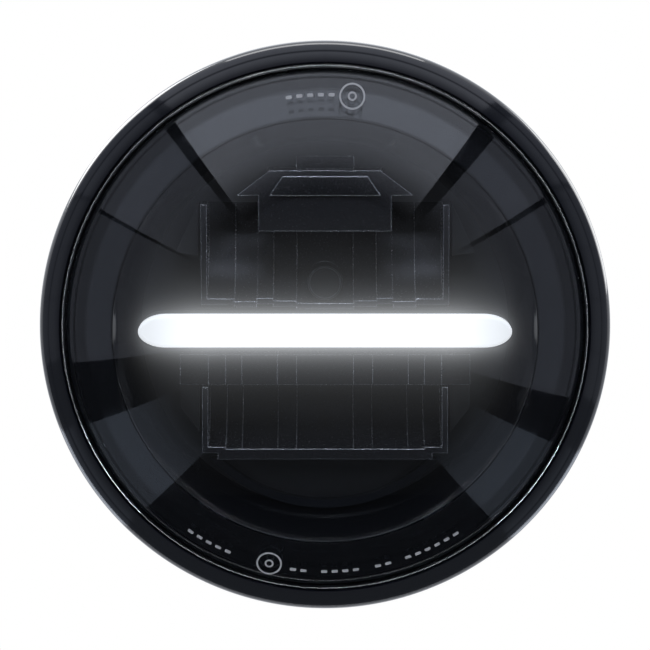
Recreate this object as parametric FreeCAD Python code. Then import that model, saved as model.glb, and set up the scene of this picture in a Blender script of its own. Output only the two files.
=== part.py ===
"""Round LED headlamp insert, 178 mm across, as the separate pieces it is assembled from.

Frame: +Z is up, the lamp shines towards -Y, and +Y points back into the vehicle. The origin is on the lamp's
axis, in the seat plane where the vehicle's mounting ring bears on the back of the flange. Lengths are in mm.
"""
import FreeCAD, Part
import math
import os

V = FreeCAD.Vector
ORIGIN = V(0, 0, 0)
LAMP_AXIS = V(0, 1, 0)

# ---- Overall sizes ----
FLANGE_R = 89.0  # bezel ring, outside
RIM_DEPTH = 11.0  # seat plane to the bezel ring's front face
BODY_LENGTH = 34.0  # seat plane to the housing's rear face
FIN_LENGTH = 20.0  # cooling fins, behind the heat sink's plate

# ---- Fits ----
RIM_GAP = 0.2  # bezel ring round the housing's rim
LENS_GAP = 0.35  # bezel ring's mouth round the lens
SLIP_GAP = 0.3  # moulded pieces that drop into each other
SCREW_GAP = 0.25  # round a screw in its clearance hole
THREAD_GAP = 0.02  # thread and tapped hole, drawn as plain cylinders
TIP_ROOM = 1.0  # tapped hole, past the screw's tip
OVERRUN = 1.0  # how far a cutting tool runs past what it cuts

# ---- Bezel ring ----
RING_WALL = 2.3
RING_DRAFT = 1.5  # how much smaller its front edge is than its back edge
RING_CHAMFER = 1.2
RING_LIP = 2.5  # thickness of the front lip that holds the lens down
RING_CRIMP = 1.2  # thickness of the edge rolled in behind the housing's rim

# ---- Lens ----
DOME_HEIGHT = 31.0  # dome's edge to its foremost point
LENS_WALL = 2.8
OPTIC_MARGIN = 4.0  # clear, slightly thicker middle of the dome, out from the carrier's plate
OPTIC_STEP = 0.4
LENS_FLANGE = 2.0  # thickness of the edge under the ring's lip
LENS_PROUD = 0.5  # dome's edge, in front of the bezel ring
BEAD_HEIGHT = 0.9
LENS_RIM_IN = 2.0  # rim beside the bead, in from the channel's outer wall
BEAD_WIDTH = 1.7
GROOVE_DEPTH = 0.3
TONGUE_WIDTH = 2.2

# ---- Glue channel in the housing's rim ----
CHANNEL_WIDTH = 3.8
CHANNEL_OUTER_WALL = 2.5
CHANNEL_INNER_WALL = 2.0
CHANNEL_FLOOR = 2.0  # metal left under the channel
SEAL_DEPTH = 3.5
SEAL_UNDER_TONGUE = 1.0

# ---- Housing ----
FLANGE_WIDTH = 16.0  # rim to spigot, the width of the ring that seats on the vehicle
HOUSING_WALL = 3.0
SPIGOT_LENGTH = 10.0
REAR_STEP = 9.0  # how much smaller the housing's rear end is than its spigot
REAR_LAND = 4.0  # straight length at the rear end
LUG_HEIGHT = 4.0
LUG_INSET = 2.0  # lugs stand in from both edges of the seat
LUG_ROOT = 0.5  # how far they run into it
LUG_WIDTHS = {90: 14.0, 210: 10.0, 330: 10.0}  # by angle: the wide one is at the top
REAR_SCREW_ANGLES = (45, 135, 225, 315)
REAR_BOSS_R = 5.0
REAR_BOSS_LENGTH = 12.0
REAR_SCREW_REACH = 9.0
CARRIER_BOSS_R = 4.0
CARRIER_BOSS_LENGTH = 10.0
CARRIER_SEAT_Y = 6.0  # front face of the carrier's bosses
SHOULDER_Y = -3.0  # step inside the rim, where the inner bezel stands
BOSS_SINK = 1.0  # how far a boss runs into the wall beside it
CARRIER_SCREW_ANGLES = (30, 150, 210, 330)
CARRIER_SCREW_REACH = 8.0

# ---- Heat sink ----
GASKET_THICKNESS = 1.0
GASKET_MARGIN = 0.3
SINK_PLATE = 5.0
FIN_THICKNESS = 2.4
FIN_PITCH = 7.6
FIN_ROOT = 0.5  # how far the fins run into the plate
FIN_EDGE_STEP = 2.0  # fins stand in from the plate's edge
FIN_SHOULDER = 9.0  # how far the outer fins are cut back
SCREW_POCKET_R = 6.2

# ---- Power inlet: three flat blades in a moulded base ----
INLET_BOSS_WALL = 7.0
INLET_BOSS_HEIGHT = 6.0
INLET_BORE_R = 14.0
INLET_FLANGE = 3.0
INLET_GASKET = 1.0
INLET_POCKET_GAP = 2.0  # fins cut back round the inlet's boss
INLET_PLINTH = (26.0, 24.0, 11.0)  # width, height, and length, which ends past the fins
INLET_NECK_LENGTH = 9.0
BLADE_WIDTH = 7.9
BLADE_THICKNESS = 0.8
BLADE_REACH = 14.0  # bare blade behind the base
BLADE_TAIL = 2.0  # blade in front of the base, for the leads
INLET_CORNER_R = 3.0
INLET_SCREW_REACH = 4.0
BLADE_SIDE_X = 8.5
BLADE_SIDE_Z = -3.0
BLADE_TOP_Z = 7.5

# ---- Breather ----
VENT_Z = -41.0
VENT_BORE_R = 3.0
VENT_CAP_R = 7.0
VENT_CAP_HEIGHT = 4.5
VENT_CAP_WALL = 1.0
VENT_POCKET_R = 9.0
VENT_MEMBRANE = 0.4
VENT_MEMBRANE_LAP = 1.0  # membrane, past the cap's bore
VENT_STEM_PROUD = 1.5
VENT_SLOT_WIDTH = 3.0

# ---- Optics carrier, the black frame that holds the optics ----
CARRIER_FLANGE = 2.0
CARRIER_PLATE = 2.5
CARRIER_PLATE_Y = 2.0  # front face of the plate
WING_GAP = 1.0  # from the reflectors to the facets beside them
WING_WIDTH = 7.0
WING_DROP = 15.0
WING_HEIGHT = 5.5
CHEEK_SIDE = 7.5
CHEEK_HEIGHT = 15.0
CARRIER_FLANGE_WIDTH = 9.0  # housing's bore to the step in the plate
PLATE_WALL = 2.0

# ---- Inner bezel ----
BEZEL_CREST_IN = 4.0  # outer edge of the ring band, in from the channel's inner wall
BEZEL_LENS_GAP = 2.4  # ring band, behind the lens's inside face
BEZEL_OUTER_Y = -8.0
BEZEL_THICKNESS = 2.0
BEZEL_MOUTH_STEP = 4.0  # mouth, in from the edge of the carrier's plate
BEZEL_SAG = 1.2  # how far the bowl's wall bends from a straight cone

# ---- Lower trim, a crescent under the optics ----
TRIM_R = 48.3
TRIM_WIDTH = 2.4
TRIM_MARGIN = 1.0  # below the high-beam reflector
TRIM_FRONT_Y = -3.0

# ---- Low beam: reflector, plug and hood above the light bar ----
REFLECTOR_WALL = 1.8
LOW_FRONT_Y = -8.0
LOW_MARGIN = 0.9  # light bar to the back of the low-beam reflector
LOW_TOP_Z = 38.0
LOW_WINDOW_Z = 30.0  # the middle columns stop here, below the emitters
LOW_DEPTH = 22.0
LOW_COLUMNS = ((8.8, 0.0), (16.0, 0.8), (21.0, 1.6), (28.0, 0.6), (36.4, 1.4))  # outer x, set in
LOW_MIDDLE_COLUMNS = 3
PLUG_R = 5.3
PLUG_Z = 13.8
PLUG_FRONT_Y = -6.5
PLUG_LENGTH = 20.0
PLUG_RIM = 0.6
PLUG_DIMPLE = 0.5
HOOD_BOTTOM_Z = 41.0
HOOD_TOP_Z = 48.6
HOOD_BOTTOM_X = 27.0
HOOD_TOP_X = 17.0
HOOD_WALL = 1.6
HOOD_FRONT_Y = -9.0
HOOD_CROWN_X = 13.0  # half width of the raised middle at its top
HOOD_CROWN_Z = 46.8
HOOD_CROWN_RISE = 1.0
HOOD_SKIRT_GAP = 0.6  # to the tall columns beside the skirt
HOOD_TAB_X = 9.0
HOOD_TAB_HEIGHT = 4.0

# ---- High beam: reflector and curtain below the light bar ----
HIGH_FRONT_Y = -12.0
HIGH_TOP_Z = -18.0
HIGH_BOTTOM_Z = -38.5
HIGH_DEPTH = 24.0
HIGH_COLUMNS = ((8.8, 0.0), (14.7, 0.8), (25.7, 0.0), (30.7, 1.0), (36.0, 2.0))
LIP_HEIGHT = 1.4
LIP_IN = 3.0  # end of the lip, in from the outer columns
CURTAIN_TOP_Z = -9.8
CURTAIN_BOTTOM_Z = -17.6
CURTAIN_FRONT_Y = -9.0
CURTAIN_WALL = 1.6
CURTAIN_X = 44.8
CURTAIN_COLUMNS = ((8.8, 0.0), (14.7, 0.5), (25.7, 0.0), (30.7, 0.5), (36.0, 0.0))  # outer x, set back

# ---- Screws that hold the reflectors to the carrier ----
TAB_WIDTH = 7.0
TAB_HEIGHT = 8.0
TAB_THICKNESS = 2.0
TAB_SCREW_REACH = 1.9

# ---- Light bar ----
BAR_HALF_LENGTH = 57.0
BAR_HALF_HEIGHT = 4.9
BAR_END_LENGTH = 8.4  # length of each rounded end
BAR_FRONT_Y = -19.5
BAR_BACK_Y = -13.0
BAR_EDGE_R = 1.0
BAR_TONGUE = 1.2  # diffuser's step into the channel
CHANNEL_BAR_WALL = 1.2
CHANNEL_BACK_Y = -2.0
BAR_BOARD_THICKNESS = 1.0
BAR_BOARD_HALF_LENGTH = 50.0
BAR_LED_COUNT = 14
BAR_LED_PITCH = 7.4
BAR_LED_SIZE = (3.0, 0.8, 2.8)
FOOT_X = (-40.0, 0.0, 40.0)
FOOT_WIDTH = 12.0
FOOT_HEIGHT = 7.0

# ---- LED bracket, boards and emitters ----
BRACKET_THICKNESS = 4.0
BRACKET_HALF_WIDTH = 30.0
BRACKET_BOTTOM_Z = -24.0
BRACKET_TOP_Z = 51.5
SHELF_THICKNESS = 3.0
LOW_SHELF_Z = 44.0  # underside
LOW_SHELF_HALF_WIDTH = 17.6
HIGH_SHELF_Z = -13.0  # underside
SHELF_FRONT_Y = -4.0
SHELF_SLOT_HALF_X = 2.6
PAD_THICKNESS = 0.4
LED_BOARD_THICKNESS = 1.6
LED_BOARD_DEPTH = 12.0
BOARD_SCREW_INSET = 3.0
LOW_BOARD_HALF_WIDTH = 16.0
HIGH_BOARD_HALF_WIDTH = 27.0
EMITTER_SIZE = (3.6, 3.6, 0.8)
LOW_EMITTER_X = (-8.0, 0.0, 8.0)
HIGH_EMITTER_X = (-16.0, 0.0, 16.0)
EMITTER_Y = 3.0
BRACKET_SCREW_X = 24.0
BRACKET_SCREW_Z = (-19.0, 46.5)
BRACKET_SCREW_REACH = 3.0

# ---- Driver board ----
STANDOFF_HEIGHT = 7.4
DRIVER_THICKNESS = 1.6
DRIVER_HALF_WIDTH = 27.0
DRIVER_BOTTOM_Z = -7.5
DRIVER_TOP_Z = 41.0
STANDOFF_R = 2.8
CAPACITOR_R = 3.2
CAPACITOR_LENGTH = 6.4
CAPACITOR_X = (-12.0, -4.0)
CAPACITOR_Z = 32.0
INDUCTOR_WIDTH = 8.0
INDUCTOR_LENGTH = 5.2
INDUCTOR_RIM = 1.2
INDUCTOR_X = (7.0, 16.0)
INDUCTOR_Z = 31.0
CHIP_HEIGHT = 1.8
CHIP_Z = 20.0
CHIPS = ((-14.0, 5.0, 5.0), (-4.0, 6.0, 4.0), (8.0, 6.5, 6.0), (17.0, 6.5, 6.0))  # x, width, height
DRIVER_SCREW_X = 23.0
DRIVER_SCREW_Z = (-3.5, 37.0)

# ---- Screw sizes: shank radius, head radius, head height ----
M4 = (2.0, 3.8, 2.6)
M3 = (1.5, 2.8, 2.0)
M2 = (1.1, 2.0, 1.4)

# ---- Wires ----
WIRE_R = 0.7
WIRE_BEND_R = 2.5
WIRE_PAIR_X = 2.2  # spacing of the two wires of a pair
WIRE_DROP = 7.0  # how far the low-beam pair runs down
HIGH_WIRE_RISE = 6.0  # where the high-beam pair meets the driver board, above its lower edge

# ---- Derived radii, from the rim inwards ----
RIM_R = FLANGE_R - RING_WALL - RIM_GAP
CHANNEL_OUTER_R = RIM_R - CHANNEL_OUTER_WALL
CHANNEL_INNER_R = CHANNEL_OUTER_R - CHANNEL_WIDTH
SHOULDER_R = CHANNEL_INNER_R - CHANNEL_INNER_WALL
LENS_RIM_R = CHANNEL_OUTER_R - LENS_RIM_IN
LENS_EDGE_R = CHANNEL_INNER_R - SLIP_GAP
TONGUE_R = (CHANNEL_OUTER_R + CHANNEL_INNER_R) / 2
SPIGOT_R = FLANGE_R - FLANGE_WIDTH
BORE_R = SPIGOT_R - HOUSING_WALL
REAR_R = SPIGOT_R - REAR_STEP
REAR_BORE_R = REAR_R - HOUSING_WALL
PLATE_R = BORE_R - CARRIER_FLANGE_WIDTH
OPTIC_R = PLATE_R + OPTIC_MARGIN
BEZEL_MOUTH_R = PLATE_R - BEZEL_MOUTH_STEP
REAR_SCREW_R = REAR_BORE_R - REAR_BOSS_R + BOSS_SINK
CARRIER_SCREW_R = BORE_R - CARRIER_BOSS_R + BOSS_SINK

# ---- Derived places along the axis ----
LENS_EDGE_Y = -RIM_DEPTH - LENS_PROUD
DOME_R = (LENS_EDGE_R**2 + DOME_HEIGHT**2) / (2 * DOME_HEIGHT)
DOME_Y = LENS_EDGE_Y - DOME_HEIGHT + DOME_R
LENS_SEAT_Y = -RIM_DEPTH + RING_LIP
RIM_TOP_Y = LENS_SEAT_Y + LENS_FLANGE
SEAL_Y = -CHANNEL_FLOOR
SINK_Y = BODY_LENGTH + GASKET_THICKNESS
SINK_BACK_Y = SINK_Y + SINK_PLATE
INLET_Y = SINK_BACK_Y + INLET_BOSS_HEIGHT
BRACKET_Y = SINK_Y - BRACKET_THICKNESS
DRIVER_Y = BRACKET_Y - STANDOFF_HEIGHT - DRIVER_THICKNESS
WIRE_TURN_Y = DRIVER_Y - 2 * WIRE_BEND_R - WIRE_R

# ---- Derived places across the lamp ----
LOW_BOTTOM_Z = BAR_HALF_HEIGHT + LOW_MARGIN + REFLECTOR_WALL
TRIM_TOP_Z = HIGH_BOTTOM_Z - REFLECTOR_WALL - TRIM_MARGIN
TRIM_CENTRE_Z = TRIM_R + TRIM_WIDTH / 2 + SLIP_GAP - BEZEL_MOUTH_R
INLET_BOSS_R = INLET_BORE_R + INLET_BOSS_WALL
INLET_SCREW_X = INLET_BORE_R + INLET_BOSS_WALL / 2


def outline(start, *steps):
    """Closed wire of (radius, y) points. A step of two points is an arc through the first to the second."""
    edges, here = [], V(start[0], start[1], 0)
    for step in steps + (start,):
        if isinstance(step[0], tuple):
            middle, end = (V(r, y, 0) for r, y in step)
            edges.append(Part.Arc(here, middle, end).toShape())
        else:
            end = V(step[0], step[1], 0)
            edges.append(Part.LineSegment(here, end).toShape())
        here = end
    return Part.Wire(edges)


def turned(start, *steps):
    """Solid turned about the lamp's axis."""
    return Part.Face(outline(start, *steps)).revolve(ORIGIN, LAMP_AXIS, 360)


def block(x, y, z):
    """Box between three (low, high) pairs."""
    return Part.makeBox(x[1] - x[0], y[1] - y[0], z[1] - z[0], V(x[0], y[0], z[0]))


def rod(radius, y, x=0.0, z=0.0):
    """Cylinder along the lamp's axis between a (front, back) pair."""
    return Part.makeCylinder(radius, y[1] - y[0], V(x, y[0], z), LAMP_AXIS)


def prism(points, y):
    """Polygon of (x, z) points, pushed back from y[0] to y[1]."""
    corners = [V(x, y[0], z) for x, z in points]
    return Part.Face(Part.makePolygon(corners + corners[:1])).extrude(V(0, y[1] - y[0], 0))


def mirrored(points):
    """The same (x, z) outline on the other side of the lamp."""
    return [(-x, z) for x, z in points]


def fused(shapes):
    """One clean solid of several that touch or cross."""
    first, *rest = shapes
    return (first.fuse(rest) if rest else first).removeSplitter()


def cut(shape, tools):
    """The shape with every tool taken out of it."""
    return shape.cut(list(tools)) if tools else shape


def around(radius, degrees):
    """(x, z) of a point at that radius and angle, counted anticlockwise from +X, seen from the front."""
    a = math.radians(degrees)
    return radius * math.cos(a), radius * math.sin(a)


def bulged(start, end, bulge):
    """An outline's arc step from start to end, its middle moved off the chord by the bulge."""
    (r0, y0), (r1, y1) = start, end
    chord = math.hypot(r1 - r0, y1 - y0)
    across = ((y1 - y0) / chord * bulge, (r0 - r1) / chord * bulge)
    return ((r0 + r1) / 2 + across[0], (y0 + y1) / 2 + across[1]), end


def dome_point(radius, sphere_r):
    """(radius, y) on a sphere that shares the dome's centre."""
    return radius, DOME_Y - math.sqrt(sphere_r**2 - radius**2)


def dome_arc(start_r, end_r, sphere_r):
    """An outline's arc step along such a sphere."""
    return dome_point((start_r + end_r) / 2, sphere_r), dome_point(end_r, sphere_r)


def screw(size, head_y, tip_y, x, z):
    """Screw along the axis, its head seated at head_y, with a hexagon socket."""
    shank_r, head_r, head_height = size
    way = 1 if tip_y > head_y else -1
    outer_y = head_y - way * head_height
    head = rod(head_r, sorted((outer_y, head_y)), x, z)
    shank = rod(shank_r, sorted((head_y, tip_y)), x, z)
    corners = [around(shank_r * 0.95, 60 * k) for k in range(6)]
    socket_y = sorted((outer_y, outer_y + way * head_height * 0.6))
    socket = prism([(x + cx, z + cz) for cx, cz in corners], socket_y)
    return head.fuse(shank).removeSplitter().cut(socket)


def wire(points, radius):
    """Round wire along straight runs joined by tangent arcs of WIRE_BEND_R."""
    corners = [V(*p) for p in points]
    edges, here = [], corners[0]
    for before, corner, after in zip(corners, corners[1:], corners[2:]):
        inward, outward = (corner - before).normalize(), (after - corner).normalize()
        turn = inward.getAngle(outward)
        trim = WIRE_BEND_R * math.tan(turn / 2)
        start, end = corner - inward * trim, corner + outward * trim
        middle = corner + (outward - inward).normalize() * WIRE_BEND_R * (1 / math.cos(turn / 2) - 1)
        edges += [Part.LineSegment(here, start).toShape(), Part.Arc(start, middle, end).toShape()]
        here = end
    edges.append(Part.LineSegment(here, corners[-1]).toShape())
    path = Part.Wire(edges)
    first_run = corners[1] - corners[0]
    section = Part.Wire([Part.Circle(corners[0], first_run, radius).toShape()])
    return path.makePipeShell([section], True, False)


def wire_pair(points, radius=WIRE_R):
    """Two wires side by side in X."""
    return [wire([(x + side * WIRE_PAIR_X / 2, y, z) for x, y, z in points], radius) for side in (-1, 1)]


# ---- Shell of the lamp ----

def make_lens():
    """Clear dome with a thicker middle, a bead, an edge under the ring's lip, and a tongue for the channel."""
    inner_r = DOME_R - LENS_WALL
    optic_r = inner_r - OPTIC_STEP
    step_r = OPTIC_R - OPTIC_STEP
    shoulder_r = math.sqrt(inner_r**2 - (DOME_Y - LENS_SEAT_Y) ** 2)
    groove_y = LENS_EDGE_Y + GROOVE_DEPTH
    bead_r = (LENS_EDGE_R + LENS_RIM_R) / 2
    tongue_in, tongue_out = TONGUE_R - TONGUE_WIDTH / 2, TONGUE_R + TONGUE_WIDTH / 2
    tongue_y = SEAL_Y - SEAL_UNDER_TONGUE
    return turned(
        dome_point(0, DOME_R),
        dome_arc(0, LENS_EDGE_R, DOME_R),
        (bead_r - BEAD_WIDTH / 2, groove_y),
        ((bead_r, LENS_EDGE_Y - BEAD_HEIGHT), (bead_r + BEAD_WIDTH / 2, groove_y)),
        (LENS_RIM_R, groove_y),
        (LENS_RIM_R, LENS_SEAT_Y),
        (RIM_R - SLIP_GAP, LENS_SEAT_Y),
        (RIM_R - SLIP_GAP, RIM_TOP_Y),
        (tongue_out, RIM_TOP_Y),
        (tongue_out, tongue_y),
        (tongue_in, tongue_y),
        (tongue_in, LENS_SEAT_Y),
        (shoulder_r, LENS_SEAT_Y),
        dome_arc(shoulder_r, OPTIC_R, inner_r),
        dome_point(step_r, optic_r),
        dome_arc(step_r, 0, optic_r),
    )


def make_lens_seal():
    """Sealant round the tongue, in the bottom of the glue channel."""
    tongue_in, tongue_out = TONGUE_R - TONGUE_WIDTH / 2, TONGUE_R + TONGUE_WIDTH / 2
    top_y, tongue_y = SEAL_Y - SEAL_DEPTH, SEAL_Y - SEAL_UNDER_TONGUE
    return turned(
        (CHANNEL_INNER_R, top_y),
        (tongue_in, top_y),
        (tongue_in, tongue_y),
        (tongue_out, tongue_y),
        (tongue_out, top_y),
        (CHANNEL_OUTER_R, top_y),
        (CHANNEL_OUTER_R, SEAL_Y),
        (CHANNEL_INNER_R, SEAL_Y),
    )


def make_bezel_ring():
    """Black outer ring: a front lip over the lens, and its back edge rolled in behind the housing's rim."""
    pocket_r = FLANGE_R - RING_WALL
    front_r = FLANGE_R - RING_DRAFT
    mouth_r = LENS_RIM_R + LENS_GAP
    return turned(
        (FLANGE_R, 0),
        (front_r, -RIM_DEPTH + RING_CHAMFER),
        (front_r - RING_CHAMFER, -RIM_DEPTH),
        (mouth_r, -RIM_DEPTH),
        (mouth_r, LENS_SEAT_Y),
        (pocket_r, LENS_SEAT_Y),
        (pocket_r, -RING_CRIMP),
        (CHANNEL_OUTER_R + RIM_GAP, -RING_CRIMP),
        (CHANNEL_OUTER_R + RIM_GAP, 0),
    )


def make_housing():
    """Die-cast bucket: glue channel, seat flange, spigot, tapered wall, locating lugs and screw bosses."""
    wall = turned(
        (CHANNEL_OUTER_R, 0),
        (CHANNEL_OUTER_R, -RING_CRIMP),
        (RIM_R, -RING_CRIMP),
        (RIM_R, RIM_TOP_Y),
        (CHANNEL_OUTER_R, RIM_TOP_Y),
        (CHANNEL_OUTER_R, SEAL_Y),
        (CHANNEL_INNER_R, SEAL_Y),
        (CHANNEL_INNER_R, RIM_TOP_Y - CHANNEL_INNER_WALL / 2),
        (SHOULDER_R, RIM_TOP_Y - CHANNEL_INNER_WALL / 2),
        (SHOULDER_R, SHOULDER_Y),
        (BORE_R, SHOULDER_Y),
        (BORE_R, SPIGOT_LENGTH),
        (REAR_BORE_R, BODY_LENGTH - REAR_LAND),
        (REAR_BORE_R, BODY_LENGTH),
        (REAR_R, BODY_LENGTH),
        (REAR_R, BODY_LENGTH - REAR_LAND),
        (SPIGOT_R, SPIGOT_LENGTH),
        (SPIGOT_R, 0),
    )
    lug_ring = rod(CHANNEL_OUTER_R - LUG_INSET, (-LUG_ROOT, LUG_HEIGHT))
    lug_ring = lug_ring.cut(rod(SPIGOT_R + LUG_INSET, (-LUG_ROOT, LUG_HEIGHT)))
    lugs = []
    for angle, width in LUG_WIDTHS.items():
        bar = block((SPIGOT_R, FLANGE_R), (-LUG_ROOT, LUG_HEIGHT), (-width / 2, width / 2))
        bar.rotate(ORIGIN, LAMP_AXIS, -angle)
        lugs.append(bar.common(lug_ring))
    bosses = []
    for angle in REAR_SCREW_ANGLES:
        x, z = around(REAR_SCREW_R, angle)
        post = rod(REAR_BOSS_R, (BODY_LENGTH - REAR_BOSS_LENGTH, BODY_LENGTH), x, z)
        bosses.append(post.common(rod(REAR_BORE_R + BOSS_SINK, (0, BODY_LENGTH))))
    for angle in CARRIER_SCREW_ANGLES:
        x, z = around(CARRIER_SCREW_R, angle)
        post = rod(CARRIER_BOSS_R, (CARRIER_SEAT_Y, CARRIER_SEAT_Y + CARRIER_BOSS_LENGTH), x, z)
        bosses.append(post.common(rod(BORE_R + BOSS_SINK, (CARRIER_SEAT_Y, BODY_LENGTH))))
    holes = []
    for angle in REAR_SCREW_ANGLES:
        x, z = around(REAR_SCREW_R, angle)
        holes.append(rod(M4[0] + THREAD_GAP, (BODY_LENGTH - REAR_SCREW_REACH - TIP_ROOM, BODY_LENGTH), x, z))
    for angle in CARRIER_SCREW_ANGLES:
        x, z = around(CARRIER_SCREW_R, angle)
        y = (CARRIER_SEAT_Y, CARRIER_SEAT_Y + CARRIER_SCREW_REACH + TIP_ROOM)
        holes.append(rod(M3[0] + THREAD_GAP, y, x, z))
    return cut(fused([wall] + lugs + bosses), holes)


def make_rear_gasket():
    """Flat gasket between the housing's rear face and the heat sink."""
    outer = rod(REAR_R - GASKET_MARGIN, (BODY_LENGTH, SINK_Y))
    return outer.cut(rod(REAR_BORE_R + GASKET_MARGIN, (BODY_LENGTH, SINK_Y)))


def make_heat_sink():
    """Finned aluminium back: round plate, upright fins, inlet boss, screw pockets and a breather bore."""
    fin_r = REAR_R - FIN_EDGE_STEP
    fin_back_y = SINK_BACK_Y + FIN_LENGTH
    envelope = turned(
        (0, SINK_BACK_Y - FIN_ROOT),
        (fin_r, SINK_BACK_Y - FIN_ROOT),
        (fin_r, fin_back_y - FIN_SHOULDER),
        (fin_r - FIN_SHOULDER, fin_back_y),
        (0, fin_back_y),
    )
    count = int(fin_r // FIN_PITCH)
    fins = []
    for k in range(-count, count + 1):
        x = k * FIN_PITCH
        fin_x = (x - FIN_THICKNESS / 2, x + FIN_THICKNESS / 2)
        fins.append(block(fin_x, (SINK_BACK_Y - FIN_ROOT, fin_back_y), (-fin_r, fin_r)))
    fin_field = Part.makeCompound(fins).common(envelope)
    behind = (SINK_BACK_Y, fin_back_y + OVERRUN)
    pockets = [rod(INLET_BOSS_R + INLET_POCKET_GAP, behind), rod(VENT_POCKET_R, behind, 0, VENT_Z)]
    for angle in REAR_SCREW_ANGLES:
        x, z = around(REAR_SCREW_R, angle)
        pockets.append(rod(SCREW_POCKET_R, behind, x, z))
    fin_field = cut(fin_field, pockets)
    plate = rod(REAR_R, (SINK_Y, SINK_BACK_Y))
    boss = rod(INLET_BOSS_R, (SINK_Y, INLET_Y))
    through = (SINK_Y - OVERRUN, fin_back_y + OVERRUN)
    holes = [rod(INLET_BORE_R, through), rod(VENT_BORE_R, through, 0, VENT_Z)]
    for angle in REAR_SCREW_ANGLES:
        x, z = around(REAR_SCREW_R, angle)
        holes.append(rod(M4[0] + SCREW_GAP, through, x, z))
    holes += inlet_holes(M2[0] + THREAD_GAP, (INLET_Y - INLET_SCREW_REACH - TIP_ROOM, INLET_Y))
    for x in (-BRACKET_SCREW_X, BRACKET_SCREW_X):
        for z in BRACKET_SCREW_Z:
            tapped_y = (SINK_Y, SINK_Y + BRACKET_SCREW_REACH + TIP_ROOM / 2)
            holes.append(rod(M3[0] + THREAD_GAP, tapped_y, x, z))
    return cut(fused([plate, boss] + fin_field.Solids), holes)


def make_rear_screws():
    """Four screws through the heat sink into the housing."""
    found = []
    for angle in REAR_SCREW_ANGLES:
        x, z = around(REAR_SCREW_R, angle)
        found.append(screw(M4, SINK_BACK_Y, BODY_LENGTH - REAR_SCREW_REACH, x, z))
    return found


# ---- Power inlet and breather ----

def blade_boxes(grow=0.0, y=None):
    """The three blades as boxes, over the whole blade or over a stretch of it."""
    reach = y or (INLET_Y + INLET_GASKET - INLET_NECK_LENGTH - BLADE_TAIL,
                  INLET_Y + INLET_GASKET + INLET_FLANGE + INLET_PLINTH[2] + BLADE_REACH)
    half_w, half_t = BLADE_WIDTH / 2 + grow, BLADE_THICKNESS / 2 + grow
    sides = [block((x - half_t, x + half_t), reach, (BLADE_SIDE_Z - half_w, BLADE_SIDE_Z + half_w))
             for x in (-BLADE_SIDE_X, BLADE_SIDE_X)]
    return sides + [block((-half_w, half_w), reach, (BLADE_TOP_Z - half_t, BLADE_TOP_Z + half_t))]


def inlet_holes(radius, y):
    """The two screw holes beside the inlet."""
    return [rod(radius, y, x, 0) for x in (-INLET_SCREW_X, INLET_SCREW_X)]


def make_terminal_base():
    """Moulded base: neck in the heat sink's bore, flange on the gasket, and a plinth round the blades."""
    width, height, length = INLET_PLINTH
    flange_y = INLET_Y + INLET_GASKET
    neck = rod(INLET_BORE_R - SLIP_GAP, (flange_y - INLET_NECK_LENGTH, flange_y))
    flange = rod(INLET_BOSS_R, (flange_y, flange_y + INLET_FLANGE))
    plinth_y = (flange_y, flange_y + INLET_FLANGE + length)
    plinth = block((-width / 2, width / 2), plinth_y, (-height / 2, height / 2))
    long_edges = [e for e in plinth.Edges if abs(e.tangentAt(e.FirstParameter).y) > 0.9]
    plinth = plinth.makeFillet(INLET_CORNER_R, long_edges)
    body = fused([neck, flange, plinth])
    return cut(body, blade_boxes() + inlet_holes(M2[0] + SCREW_GAP, (flange_y, flange_y + INLET_FLANGE)))


def make_terminal_blades():
    """Three flat blades with bevelled tips."""
    tip_y = INLET_Y + INLET_GASKET + INLET_FLANGE + INLET_PLINTH[2] + BLADE_REACH
    found = []
    for blade in blade_boxes():
        tip_edges = [e for e in blade.Edges if e.Length > BLADE_WIDTH - 0.1 and e.Length < BLADE_WIDTH + 0.1
                     and abs(e.CenterOfMass.y - tip_y) < 0.01]
        found.append(blade.makeChamfer(BLADE_THICKNESS * 0.3, tip_edges))
    return found


def make_terminal_gasket():
    """Flat ring under the base's flange."""
    y = (INLET_Y, INLET_Y + INLET_GASKET)
    return cut(rod(INLET_BOSS_R, y), [rod(INLET_BORE_R, y)] + inlet_holes(M2[0] + SCREW_GAP, y))


def make_terminal_screws():
    """Two screws that hold the base to the heat sink."""
    head_y = INLET_Y + INLET_GASKET + INLET_FLANGE
    return [screw(M2, head_y, INLET_Y - INLET_SCREW_REACH, x, 0) for x in (-INLET_SCREW_X, INLET_SCREW_X)]


def make_vent_cap():
    """Breather cap: a hollow mushroom whose stem clips into the heat sink."""
    cap_y = (SINK_BACK_Y, SINK_BACK_Y + VENT_CAP_HEIGHT)
    cap = rod(VENT_CAP_R, cap_y, 0, VENT_Z)
    room = rod(VENT_CAP_R - VENT_CAP_WALL, (cap_y[0] + VENT_CAP_WALL, cap_y[1] - VENT_CAP_WALL), 0, VENT_Z)
    stem_y = (SINK_Y - VENT_STEM_PROUD, SINK_BACK_Y + VENT_CAP_WALL)
    stem = rod(VENT_BORE_R - THREAD_GAP, stem_y, 0, VENT_Z)
    bore = rod(VENT_BORE_R / 2, stem_y, 0, VENT_Z)
    slot_y = cap_y[0] + 2 * VENT_CAP_WALL
    half = VENT_SLOT_WIDTH / 2
    slot = block((-FLANGE_R, FLANGE_R), (slot_y, slot_y + VENT_CAP_WALL), (VENT_Z - half, VENT_Z + half))
    return cut(fused([cap, stem]), [room, bore, slot])


def make_vent_membrane():
    """Breathable disc over the cap's bore."""
    start = SINK_BACK_Y + VENT_CAP_WALL
    return rod(VENT_BORE_R + VENT_MEMBRANE_LAP, (start, start + VENT_MEMBRANE), 0, VENT_Z)


# ---- Frame inside the lamp ----

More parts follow.
